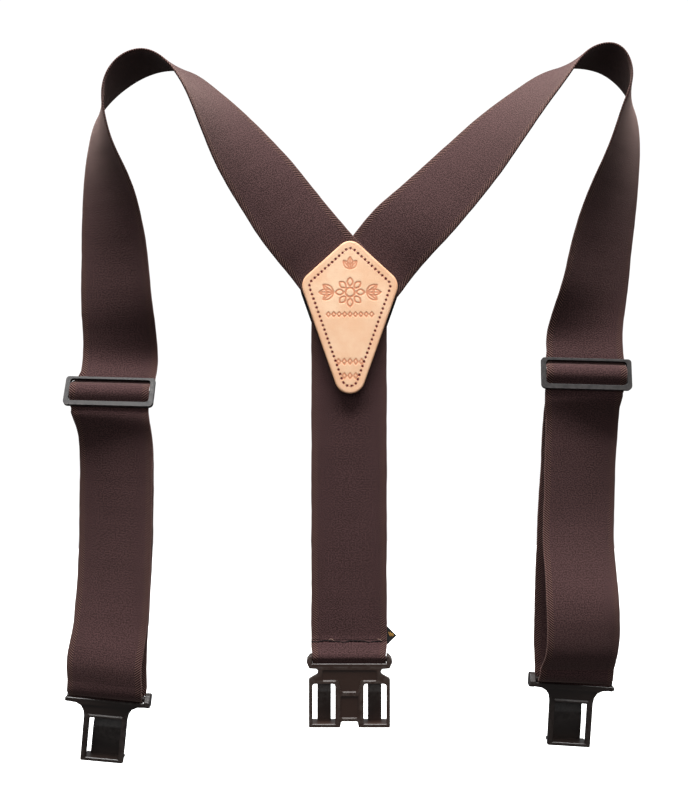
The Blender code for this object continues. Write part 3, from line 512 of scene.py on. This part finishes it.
def smooth_curve(points, spacing):
    """Points every `spacing` mm on the natural cubic spline through the given points."""
    points = np.array(points, float)
    half = 3 if points.shape[1] == 6 else points.shape[1]
    steps = np.diff(points, axis=0)
    chord = np.linalg.norm(steps[:, :half], axis=1)
    if points.shape[1] == 6:
        chord = (chord + np.linalg.norm(steps[:, half:], axis=1)) / 2
    size = len(points)
    system = np.eye(size)
    right = np.zeros_like(points)
    for i in range(1, size - 1):
        before, after = chord[i - 1], chord[i]
        system[i, i - 1:i + 2] = before, 2 * (before + after), after
        right[i] = 6 * (steps[i] / after - steps[i - 1] / before)
    bend = np.linalg.solve(system, right)
    result = []
    for i in range(size - 1):
        count = max(2, int(round(chord[i] / spacing)))
        t = (chord[i] * np.arange(count) / count)[:, None]
        slope = steps[i] / chord[i] - chord[i] * (2 * bend[i] + bend[i + 1]) / 6
        cubic = (bend[i + 1] - bend[i]) / (6 * chord[i])
        result.append(points[i] + slope * t + bend[i] / 2 * t ** 2 + cubic * t ** 3)
    return np.vstack([*result, points[-1:]])


def distance_along(line):
    """Length of a polyline from its start to each of its points."""
    return np.concatenate([[0.0], np.cumsum(np.linalg.norm(np.diff(line, axis=0), axis=1))])


def new_piece(name, mesh, material, body, replaced=()):
    mesh.materials.append(material)
    piece = bpy.data.objects.new(name, mesh)
    bpy.context.scene.collection.objects.link(piece)
    if body:
        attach(piece, body)
    if replaced:
        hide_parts(*replaced)
    return piece


def mesh_from(name, verts, faces):
    mesh = bpy.data.meshes.new(name)
    mesh.from_pydata([tuple(v) for v in verts], [], [tuple(f) for f in faces])
    mesh.update()
    mesh.shade_smooth()
    return mesh


def face_outwards(mesh):
    bm = bmesh.new()
    bm.from_mesh(mesh)
    bmesh.ops.recalc_face_normals(bm, faces=bm.faces)
    bm.to_mesh(mesh)
    bm.free()


def band_faces(rows, ring, base=0):
    """Faces between neighbouring rings of points, each ring closed on itself."""
    faces = []
    for i in range(rows - 1):
        low, high = base + i * ring, base + (i + 1) * ring
        for k in range(ring):
            following = (k + 1) % ring
            faces.append((low + k, low + following, high + following, high + k))
    return faces


def resample(rails, spacing):
    """Rows at an even spacing along the middle line of a pair of edge rails."""
    middle = (rails[:, :3] + rails[:, 3:]) / 2
    run = distance_along(middle)
    count = max(2, int(round(run[-1] / spacing)) + 1)
    at = np.linspace(0.0, run[-1], count)
    rows = np.stack([np.interp(at, run, rails[:, k]) for k in range(6)], axis=1)
    return rows, at


def waver(at, seed, length, size):
    """Slow irregular wave along a strap, the same for the same place."""
    phases = np.random.default_rng(seed).uniform(0, 2 * pi, 4)
    total = sum(np.sin(2 * pi * at / (length * f) + p) / (k + 1)
                for k, (f, p) in enumerate(zip((1.0, 0.57, 0.31, 0.19), phases)))
    return size * total


def strap_frame(rails):
    """Middle points, unit vectors across and out of the webbing, width share and run of its rows."""
    rows, at = resample(rails, ROW)
    first = rows[:, [0, 1, 2]] * (1, -1, 1)
    second = rows[:, [3, 4, 5]] * (1, -1, 1)
    middle = (first + second) / 2
    across = first - second
    width = np.linalg.norm(across, axis=1)
    across /= width[:, None]
    normal = np.cross(np.gradient(middle, axis=0), across)
    normal /= np.linalg.norm(normal, axis=1)[:, None]
    return middle, across, normal, width / WEB_WIDTH, at


def strap_caps(count, ring):
    """Faces that close a strap at its first and last row."""
    last = (count - 1) * ring
    faces = []
    for k in range(ring // 2 - 1):
        low, high = ring - 1 - k, ring - 2 - k
        faces.append((k, low, high, k + 1))
        faces.append((last + k + 1, last + high, last + low, last + k))
    return faces


def strap_mesh(name, rails, start=0.0, seed=1, groove=None):
    """Closed webbing between two rails of (x, depth, z) in mm, with rounded, scalloped
    selvedges. `start` is the length along the strap at its first row, and `groove` is the
    (place, depth, width) of a furrow across its outer face."""
    middle, across, normal, wide_share, run = strap_frame(rails)
    at = run + start
    count = len(at)
    scallop = SCALLOP * np.abs(np.sin(pi * at / HERRING_PITCH)) - SCALLOP
    ragged = [waver(at, seed + s, RAGGED_LENGTH, WAVER) for s in (0, 10)]
    swell = waver(at, seed + 20, SWELL_LENGTH, WAVER)
    stations = [-t for t in WEB_ACROSS[:0:-1]] + WEB_ACROSS
    half = WEB_HALF_THICK[:0:-1] + WEB_HALF_THICK
    verts, uvs = [], []
    for face in (1, -1):
        for t, h in zip(stations, half):
            reach = np.full(count, t)
            if abs(t) > SELVEDGE_FROM:
                share = (abs(t) - SELVEDGE_FROM) / SELVEDGE_WIDTH
                reach = reach + np.sign(t) * share * (scallop + ragged[int(t > 0)])
            lift = np.full(count, face * h)
            if groove and face > 0:
                place, depth, width = groove
                lift = lift - depth * np.exp(-((at - start - place - 0.4 * np.sin(t / 3.1)) / width) ** 2)
            lift = lift + swell * np.cos(t / WEB_WIDTH * pi)
            reach = reach * wide_share
            spot = middle + across * reach[:, None] + normal * lift[:, None]
            verts.append(spot * MM)
            uvs.append(np.stack([np.full(count, t * MM), at * MM], axis=1))
    wide = len(stations)
    order = list(range(wide)) + list(range(2 * wide - 1, wide - 1, -1))
    grid = np.stack([verts[k] for k in order], axis=1)
    places = np.stack([uvs[k] for k in order], axis=1)
    ring = len(order)
    mesh = mesh_from(name, grid.reshape(-1, 3), band_faces(count, ring) + strap_caps(count, ring))
    layer = mesh.uv_layers.new(name="strap")
    index = np.empty(len(mesh.loops), dtype=np.int32)
    mesh.loops.foreach_get("vertex_index", index)
    layer.data.foreach_set("uv", places.reshape(-1, 2)[index].astype(np.float32).ravel())
    face_outwards(mesh)
    mesh.set_sharp_from_angle(angle=radians(50))
    return mesh, at[-1]


def turn_of(tilt, roll):
    return np.array(Matrix.Rotation(radians(roll), 3, "Y") @ Matrix.Rotation(radians(-tilt), 3, "X"))


def local_edge(spot, tilt, roll, x, forward, up):
    """World (x, depth, z) of a point given in a slide's or clip's own frame."""
    p = turn_of(tilt, roll) @ np.array([x, -forward, up])
    return [spot[0] + p[0], spot[1] - p[1], spot[2] + p[2]]


def slide_pair(facts, point):
    """Both edges of the webbing at a (forward, up) point of the slide's frame."""
    inner, up = facts["inner"], point[1]
    shift = np.interp(up, SLIDING_HEIGHTS, SLIDING_SHIFT) + facts["drift"] * np.interp(
        up, SLIDING_HEIGHTS, SLIDING_DRIFT)
    pair = []
    for side in (inner, -inner):
        x = inner * shift + side * np.interp(up, SLIDING_HEIGHTS, SLIDING_HALF)
        pair += local_edge(facts["slide"], facts["tilt"], SLIDE_ROLL, x, *point)
    return pair


def sewn_pair(facts, point):
    """Both edges of the sewn end at a (forward, up) point of the slide's frame."""
    pair = []
    for side in (facts["inner"], -facts["inner"]):
        pair += local_edge(facts["slide"], facts["tilt"], SLIDE_ROLL, side * WEB_WIDTH / 2, *point)
    return pair


def fold_pair(facts, point):
    """Both edges of the webbing at a (forward, up) point of the clip's frame."""
    inner = facts["inner"]
    forward, up = point
    lean = facts["lean"] * np.interp(forward, LEAN_FORWARD, [0.0, 1.0])
    pair = []
    for side in (inner, -inner):
        x = inner * FOLD_SHIFT + side * np.interp(up, FOLD_HEIGHTS, FOLD_HALF)
        pair += local_edge(facts["bar"], 0.0, facts["roll"], x, forward + side * inner * lean, up)
    return pair


def edge_pair(station, inner, roll):
    """Both edges of the webbing at a (x, depth, z, tilt) station of a loop."""
    x, depth, z, tilt = station
    across = inner * WEB_WIDTH / 2 * cos(radians(tilt))
    lift = WEB_WIDTH / 2 * sin(radians(tilt))
    drop = across * sin(radians(roll))
    return [x + across, depth + lift, z - drop, x - across, depth - lift, z + drop]


def arc(radius, start, end, count, centre=(0.0, 0.0)):
    angles = np.radians(np.linspace(start, end, count))
    return [(centre[0] + radius * cos(a), centre[1] - radius * sin(a)) for a in angles]


def cut_at(path, end):
    """The part of a (forward, up) path above a point, ending exactly there."""
    return [p for p in path if p[1] > end[1] + 0.3] + [end]


# ---------------------------------------------------------------- webbing


def shoulder_and_leg(side, facts):
    """A shoulder strap from the patch to its slide; returns its length."""
    inner = facts["inner"]
    stations = SHOULDERS[side] + [slide_pair(facts, p) for p in (SLIDE_ENTRY, SLIDING_PATH[0])]
    line = smooth_curve(stations, 1.0)
    split = np.argmin(np.linalg.norm(line - np.array(SHOULDERS[side][SPLIT_STATION]), axis=1))
    mesh, length = strap_mesh(side + "_shoulder_strap", line[:split + 1], seed=31 + inner)
    new_piece(mesh.name, mesh, WEBBING, "straps", [side + "_shoulder_webbing"])
    through = [slide_pair(facts, p) for p in smooth_curve(cut_at(SLIDING_PATH, SLIDE_EXIT), 0.5)]
    rails = np.vstack([line[split:], through[1:]])
    mesh, end = strap_mesh(side + "_front_leg", rails, length, seed=31 + inner)
    leg = new_piece(mesh.name, mesh, WEBBING, None,
                    [side + "_leg_webbing", side + "_slide_webbing"])
    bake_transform(leg)
    return end


def loop(side, facts, start):
    """The webbing from a slide round its clip's bar and back to the slide."""
    inner, slide, bar = facts["inner"], facts["slide"], facts["bar"]
    exit_row = [slide_pair(facts, p) for p in (SLIDE_EXIT, SLIDING_PATH[-1])]
    lines = []
    for middle in (LOOP_FRONT[side], LOOP_BACK[side]):
        rolls = np.linspace(SLIDE_ROLL, facts["roll"], len(middle) + 2)[1:-1]
        lines.append([edge_pair(station, inner, roll) for station, roll in zip(middle, rolls)])
    fold = FOLD_PATH + arc(WRAP_R, 8, 180, 10, (0.0, -FOLD_DROP)) + FOLD_TAIL
    around = [fold_pair(facts, p) for p in smooth_curve(fold, 0.8)]
    sewn = [sewn_pair(facts, p) for p in smooth_curve(SEWN_END_PATH[::-1], 0.5)]
    down = smooth_curve(exit_row + lines[0] + [around[0]], 1.0)
    up = smooth_curve([around[-1]] + lines[1][::-1] + [sewn[0]], 1.0)
    rails = np.vstack([down, around[1:], up[1:], sewn[1:]])
    mesh, _ = strap_mesh(side + "_loop", rails, start, seed=51 + inner)
    piece = new_piece(mesh.name, mesh, WEBBING, None,
                      [side + "_loop_front_webbing", side + "_fold_webbing", side + "_loop_back_webbing",
                       side + "_sewn_end_webbing"])
    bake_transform(piece)


def rear_strap():
    """The rear strap with its fold and tail; returns the depth of its outer face at the seam."""
    wrap = arc(REAR_WRAP_R, HEM_TURN, 180, 12, (REAR_WRAP_DEPTH, REAR_WRAP_Z))
    upper = smooth_curve(REAR_PATH, 1.0)
    lower = smooth_curve(HEM_PATH + wrap + HEM_TAIL, 0.6)
    path = smooth_curve(np.vstack([upper[::8], lower[1::3]]), 0.5)
    half = np.interp(path[:, 1], HEM_HEIGHTS, HEM_HALF)
    rails = np.stack([half, path[:, 0], path[:, 1], -half, path[:, 0], path[:, 1]], axis=1)
    tail = path[:, 0] < REAR_PATH[-1][0] - WEB_THICK
    at_seam = np.argmin(np.where(tail, np.inf, np.abs(path[:, 1] - HEM_STITCH_Z)))
    groove = (distance_along(path)[at_seam], *HEM_GROOVE)
    mesh, _ = strap_mesh("rear_strap", rails, 0.0, 71, groove)
    new_piece(mesh.name, mesh, WEBBING, "straps", ["rear_webbing", "rear_fold_webbing"])
    return path[at_seam, 0] + WEB_THICK / 2


seam_depth = rear_strap()
for side_name, side_facts in SIDES.items():
    reached = shoulder_and_leg(side_name, side_facts)
    loop(side_name, side_facts, reached)

# ---------------------------------------------------------------- threads


def tubes_mesh(name, paths, sides=8):
    """Closed round threads; each path is a row of (x, depth, z, radius) in mm."""
    verts, faces = [], []
    for path in paths:
        path = np.array(path, float)
        spots = path[:, :3] * (1, -1, 1)
        along = np.gradient(spots, axis=0)
        along /= np.linalg.norm(along, axis=1)[:, None]
        first = np.cross(along, (0.0, 1.0, 0.02))
        first /= np.linalg.norm(first, axis=1)[:, None]
        second = np.cross(along, first)
        base = len(verts)
        for spot, a, b, radius in zip(spots, first, second, path[:, 3]):
            for k in range(sides):
                angle = 2 * pi * k / sides
                verts.append((spot + radius * (cos(angle) * a + sin(angle) * b)) * MM)
        end = base + (len(path) - 1) * sides
        faces += band_faces(len(path), sides, base)
        faces.append(tuple(range(base, base + sides))[::-1])
        faces.append(tuple(range(end, end + sides)))
    mesh = mesh_from(name, verts, faces)
    face_outwards(mesh)
    return mesh


def stitch_path(line, start, end, radius, rise, count=11):
    """One stitch over a polyline of (x, depth, z), diving in at both ends."""
    run = distance_along(line)
    t = np.linspace(0.0, 1.0, count)
    at = (start + (end - start) * t) % run[-1]
    spots = np.stack([np.interp(at, run, line[:, k]) for k in range(3)], axis=1)
    hump = np.sin(pi * t) ** 0.35
    spots[:, 1] += rise * hump - 0.45 * (1 - hump)
    return np.column_stack([spots, radius * (0.55 + 0.45 * hump)])


# ---------------------------------------------------------------- leather patch


def corner_sides(corners, i):
    """Corner i of an outline, the directions to its neighbours and half the angle between them."""
    here = Vector(corners[i][:2])
    back = (Vector(corners[i - 1][:2]) - here).normalized()
    ahead = (Vector(corners[(i + 1) % len(corners)][:2]) - here).normalized()
    return here, back, ahead, acos(max(-1.0, min(1.0, back.dot(ahead)))) / 2


def rounded_outline(corners, steps):
    """Points of an outline of (x, z, radius) corners, `steps` to an arc."""
    outline = []
    for i, (_, _, radius) in enumerate(corners):
        here, back, ahead, half = corner_sides(corners, i)
        middle = here + (back + ahead).normalized() * (radius / sin(half))
        reach = radius / np.tan(half)
        start = here + back * reach - middle
        turn = start.angle_signed(here + ahead * reach - middle)
        for k in range(steps + 1):
            angle = atan2(start.y, start.x) - turn * k / steps
            outline.append(tuple(middle + Vector((cos(angle), sin(angle))) * radius))
    return np.array(outline)


def grown_kite(grow):
    """The patch's corners moved outwards by `grow`."""
    corners = []
    for i, (_, _, radius) in enumerate(PATCH_CORNERS):
        here, back, ahead, half = corner_sides(PATCH_CORNERS, i)
        point = here - (back + ahead).normalized() * grow / sin(half)
        corners.append((point.x, point.y, max(radius + grow, 1.0)))
    return corners


ARC_STEPS = 14
SIDE_STEPS = (72, 160, 160, 72)
# Rings of the patch from the middle of its back round its edge, as (inset, depth)
PATCH_EDGE = ((1.0, PATCH_BACK), (0.3, PATCH_BACK + 0.12), (0.04, PATCH_BACK + 0.5), (0.0, 8.6),
              (0.06, 9.15), (0.25, 9.5), (0.6, 9.71), (1.2, PATCH_FRONT))
SEAM_INSETS = (1.8, 2.6, 3.3, 3.8, 4.15, 4.4, 4.6, 4.8, 5.0, 5.2, 5.4, 5.6, 5.85, 6.2, 6.7, 7.4, 8.2)
BACK_SHARES = (0.25, 0.6, 0.85)
FRONT_RINGS = 112
FRONT_FROM = len(BACK_SHARES) + len(PATCH_EDGE) - 1
HOLE_RADIUS, SEAM_HALF = 0.76, 0.5
PRESS_DEPTH, HOLE_DEPTH, SEAM_DEPTH, DRIFT_DEPTH = 0.17, 0.16, 0.10, 0.05


def kite_ring(inset):
    """The same number of points round the patch at any distance inside its outline."""
    outline = rounded_outline(grown_kite(-inset), ARC_STEPS)
    ring = []
    for corner in range(4):
        arc_points = outline[corner * (ARC_STEPS + 1):(corner + 1) * (ARC_STEPS + 1)]
        ring.append(arc_points[:-1])
        following = outline[((corner + 1) * (ARC_STEPS + 1)) % len(outline)]
        t = np.arange(SIDE_STEPS[corner])[:, None] / SIDE_STEPS[corner]
        ring.append(arc_points[-1] * (1 - t) + following * t)
    return np.vstack(ring)


def turned(x, z, px, pz, turn):
    """Points (px, pz) turned by an angle and moved to (x, z)."""
    return np.column_stack([x + px * cos(turn) - pz * sin(turn), z + px * sin(turn) + pz * cos(turn)])


def circle(x, z, radius):
    a = np.linspace(0, 2 * pi, 41)
    return turned(x, z, radius * np.cos(a), radius * np.sin(a), 0.0)


def leaf(x, z, length, width, turn):
    """Outline of a leaf with a rib, starting at (x, z) and pointing along `turn`."""
    t = np.linspace(0, 1, 14)
    bow = width * np.sin(pi * t) ** 0.8
    return [turned(x, z, length * t, side * bow / 2, turn) for side in (1, -1, 0)]


def diamond(x, z, wide, high):
    return np.array([(x - wide, z), (x, z + high), (x + wide, z), (x, z - high), (x - wide, z)])


MOTIF_X, ROSETTE_Z, BUD_Z, BORDER_Z = 0.6, -143.5, -128.0, -158.2


def motif():
    """Pressed ornament as (polyline, line width): a rosette between leaves, and small borders."""
    lines = [(circle(MOTIF_X, ROSETTE_Z, 3.0), 1.3)]
    for k in range(8):
        turn = pi / 4 * k
        petal = leaf(MOTIF_X + 4.2 * cos(turn), ROSETTE_Z + 4.2 * sin(turn), 5.4, 3.6, turn)
        lines += [(line, 1.1) for line in petal[:2]]
    for side in (-1, 1):
        base = 0.0 if side > 0 else pi
        for turn, length in ((base + side * 0.62, 8.4), (base, 9.6), (base - side * 0.62, 8.4)):
            lines += [(line, 1.0) for line in leaf(MOTIF_X + side * 11.0, ROSETTE_Z, length, 4.0, turn)]
    lines += [(diamond(MOTIF_X + 3.6 * k, BORDER_Z, 1.3, 1.6), 0.9) for k in range(-4, 5)]
    for turn, length in ((0.9, 7.0), (pi / 2, 8.0), (pi - 0.9, 7.0)):
        lines += [(line, 0.9) for line in leaf(MOTIF_X, BUD_Z, length, 3.4, turn)]
    for row, wide in ((-189.5, 2), (-199.0, 1)):
        lines += [(diamond(MOTIF_X + 3.8 * k, row, 1.4, 1.9), 0.9) for k in range(-wide, wide + 1)]
    return lines


def pressed(points):
    """How deep the ornament is pressed at each (x, z) point, 0 to 1."""
    depth = np.zeros(len(points))
    for line, width in motif():
        near = np.all((points > line.min(0) - 2.0) & (points < line.max(0) + 2.0), axis=1)
        spots = points[near]
        nearest = np.full(len(spots), 9.0)
        for a, b in zip(line, line[1:]):
            step = b - a
            t = np.clip(((spots - a) @ step) / max(step @ step, 1e-9), 0, 1)
            nearest = np.minimum(nearest, np.linalg.norm(spots - a - t[:, None] * step, axis=1))
        soft = np.clip((width / 2 + 0.32 - nearest) / 0.55, 0, 1)
        depth[near] = np.maximum(depth[near], soft * soft * (3 - 2 * soft))
    return depth


def needle_holes():
    """The closed seam line round the patch, its holes and their pitch."""
    seam = kite_ring(STITCH_INSET)
    seam = np.vstack([seam, seam[:1]])
    run = distance_along(seam)
    count = int(round(run[-1] / STITCH_PITCH))
    pitch = run[-1] / count
    holes = np.stack([np.interp(pitch * np.arange(count), run, seam[:, k]) for k in range(2)], axis=1)
    return seam, holes, pitch


def patch_rings(middle):
    """Rings of (x, z) points with their depth, from the middle of the back to that of the front."""
    outer = kite_ring(PATCH_EDGE[0][0])
    rings = [(middle + (outer - middle) * share, PATCH_BACK) for share in BACK_SHARES]
    rings += [(kite_ring(inset), depth) for inset, depth in PATCH_EDGE]
    rings += [(kite_ring(inset), PATCH_FRONT) for inset in SEAM_INSETS]
    last = rings[-1][0]
    rings += [(middle + (last - middle) * share, PATCH_FRONT)
              for share in np.linspace(1.0, 0.012, FRONT_RINGS)[1:]]
    return rings


def seam_marks(rings, seam, holes):
    """How strongly each point is part of a needle hole and of the furrow along the seam."""
    around = len(rings[0][0])
    hole = np.zeros(len(rings) * around)
    furrow = np.zeros(len(hole))
    for k in range(FRONT_FROM + 1, FRONT_FROM + 1 + len(SEAM_INSETS)):
        ring = rings[k][0]
        part = slice(k * around, (k + 1) * around)
        from_hole = np.linalg.norm(ring[:, None] - holes[None], axis=2).min(axis=1)
        from_seam = np.linalg.norm(ring[:, None] - seam[None, ::3], axis=2).min(axis=1)
        hole[part] = np.exp(-(from_hole / HOLE_RADIUS) ** 4)
        furrow[part] = np.exp(-(from_seam / SEAM_HALF) ** 2)
    return hole, furrow


def leather_patch():
    """The patch with its rounded edge, needle holes and pressed ornament, and its stitches."""
    seam, holes, pitch = needle_holes()
    middle = np.array(PATCH_MIDDLE)
    rings = patch_rings(middle)
    around = len(rings[0][0])
    flat = np.vstack([ring for ring, _ in rings])
    number = np.repeat(np.arange(len(rings)), around)
    front = number >= FRONT_FROM
    press = np.where(front, pressed(flat), 0.0)
    hole, furrow = seam_marks(rings, seam, holes)
    drift = DRIFT_DEPTH * np.sin(flat[:, 0] / 5.3 + 1.0) * np.sin(flat[:, 1] / 7.7)
    relief = drift - PRESS_DEPTH * press - HOLE_DEPTH * hole - SEAM_DEPTH * furrow
    depth = np.repeat([d for _, d in rings], around) + np.where(front, relief, 0.0)
    centres = [(middle[0], -PATCH_BACK, middle[1]), (middle[0], -PATCH_FRONT, middle[1])]
    verts = np.vstack([np.column_stack([flat[:, 0], -depth, flat[:, 1]]), centres]) * MM
    back_centre, front_centre, end = len(flat), len(flat) + 1, len(flat) - around
    faces = band_faces(len(rings), around)
    for p in range(around):
        q = (p + 1) % around
        faces += [(back_centre, q, p), (front_centre, end + p, end + q)]
    mesh = mesh_from("patch", verts, faces)
    face_outwards(mesh)
    burnish = np.exp(-((number - 6.5) / 2.6) ** 2) + 0.26 * np.clip((29 - number) / 12, 0, 1) * (number > 6)
    for name, values in (("press", press), ("burnish", burnish), ("hole", hole)):
        layer = mesh.attributes.new(name, "FLOAT", "POINT")
        layer.data.foreach_set("value", np.append(values, [0.0, 0.0]).astype(np.float32))
    new_piece("patch", mesh, LEATHER, "straps", ["leather_patch"])
    line = np.column_stack([seam[:, 0], np.full(len(seam), PATCH_FRONT - 0.06), seam[:, 1]])
    paths = [stitch_path(line, pitch * k + STITCH_GAP, pitch * (k + 1) - STITCH_GAP, 0.17, 0.02)
             for k in range(len(holes))]
    mesh = tubes_mesh("patch_stitches", paths)
    new_piece("patch_stitches", mesh, TAN_THREAD, "straps", ["patch_stitching"])


leather_patch()

# ---------------------------------------------------------------- hem, tag and end stitches


LOOSE_THREADS = ((-13.6, -374.9, 4.6, 0.9), (-10.4, -376.6, 2.6, -0.7), (19.0, -374.6, 3.2, 0.5))


def hem_stitches():
    """The row across the hem, a little uneven, and loose ends as (x, z, reach, bow)."""
    x = np.linspace(-25.3, 25.3, 200)
    z = HEM_STITCH_Z + 0.35 * np.sin(x / 3.1) + 0.18 * np.sin(x / 1.3 + 1.0)
    line = np.column_stack([x, seam_depth - 0.02 - HEM_SLOPE * (z - HEM_STITCH_Z), z])
    starts = np.arange(0.1, HEM_ROW, HEM_PITCH)
    paths = [stitch_path(line, at, at + STITCH_REACH, 0.42, 0.16) for at in starts]
    new_piece("hem_stitches", tubes_mesh("hem_stitches", paths), DARK_THREAD, "straps",
              ["hem_stitching"])
    t = np.linspace(0, 1, 16)
    loose = []
    for x0, z0, reach, bow in LOOSE_THREADS:
        loose.append(np.column_stack([x0 + reach * t, seam_depth + 0.10 + 0.25 * np.sin(pi * t),
                                      z0 + bow * np.sin(pi * t * 1.3) - 0.8 * t, np.full(16, 0.13)]))
    new_piece("loose_threads", tubes_mesh("loose_threads", loose, 6), LINT, "straps")


TAG_STEPS = 24
TAG_HALF_THICK, TAG_BEND = 0.32, 0.35
TAG_ZIGZAG = [(26.4, -370.2), (27.6, -373.0), (27.6, -370.6), (28.9, -373.2), (28.8, -371.2), (29.9, -373.0)]


def label_tag():
    """Folded woven tag caught in the hem, with a small woven zigzag."""
    x, depth, z = TAG_CENTRE
    steps = TAG_STEPS
    verts, faces = [], []
    span = np.linspace(-1, 1, steps + 1)
    for face in (1, -1):
        for a in span:
            for b in span:
                px, pz = (a + b) / 2, (a - b) / 2
                rim = max(abs(a), abs(b))
                half = TAG_HALF_THICK * (1 - 0.75 * max(0.0, (rim - 0.9) / 0.1) ** 2)
                bend = TAG_BEND * max(0.0, px) ** 2
                verts.append(((x + TAG_HALF_DIAGONAL * px) * MM, -(depth + bend + face * half) * MM,
                              (z + TAG_HALF_DIAGONAL * pz) * MM))
    wide = steps + 1
    sheet = wide * wide
    for i in range(steps):
        for k in range(steps):
            a = i * wide + k
            faces.append((a, a + 1, a + wide + 1, a + wide))
            faces.append((sheet + a + wide, sheet + a + wide + 1, sheet + a + 1, sheet + a))
    border = ([i * wide for i in range(wide)] + [steps * wide + k for k in range(1, wide)]
              + [i * wide + steps for i in range(steps - 1, -1, -1)] + list(range(steps - 1, 0, -1)))
    for a, b in zip(border, border[1:] + border[:1]):
        faces.append((a, b, sheet + b, sheet + a))
    mesh = mesh_from("tag", verts, faces)
    mesh.set_sharp_from_angle(angle=radians(50))
    face_outwards(mesh)
    new_piece("tag", mesh, TAG_CLOTH, "straps", ["label_tag"])
    zigzag = smooth_curve(TAG_ZIGZAG, 0.3)
    share = np.clip((zigzag[:, 0] - x) / TAG_HALF_DIAGONAL, 0, 1)
    path = np.column_stack([zigzag[:, 0], depth + 0.36 + TAG_BEND * share ** 2, zigzag[:, 1],
                            np.full(len(zigzag), 0.17)])
    new_piece("tag_thread", tubes_mesh("tag_thread", [path], 6), GOLD_THREAD, "straps")


def end_stitches(side, facts):
    """The row that closes the webbing's end round the slide's centre bar, at the back."""
    line = np.array([local_edge(facts["slide"], facts["tilt"], SLIDE_ROLL, x, *END_ROW_PLACE)
                     for x in np.linspace(-23.5, 23.5, 120)])
    starts = np.arange(0.1, END_ROW, END_PITCH)
    paths = [stitch_path(line, at, at + STITCH_REACH, 0.3, 0.0) for at in starts]
    for path in paths:
        path[:, 1] = 2 * line[0, 1] - path[:, 1]
    new_piece(side + "_end_stitches", tubes_mesh(side + "_end_stitches", paths), DARK_THREAD, side + "_slide",
              [side + "_end_stitching"])


hem_stitches()
label_tag()
for side_name, side_facts in SIDES.items():
    end_stitches(side_name, side_facts)

# ---------------------------------------------------------------- materials of the kept CAD parts

for node, material in (("patch_backing", BACKING), ("rear_clip", CLIP_PLASTIC),
                       ("left_front_clip", FRONT_CLIP_PLASTIC), ("right_front_clip", FRONT_CLIP_PLASTIC),
                       ("left_slide", SLIDE_PLASTIC), ("right_slide", SLIDE_PLASTIC)):
    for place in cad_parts[node].material_slots:
        place.material = material
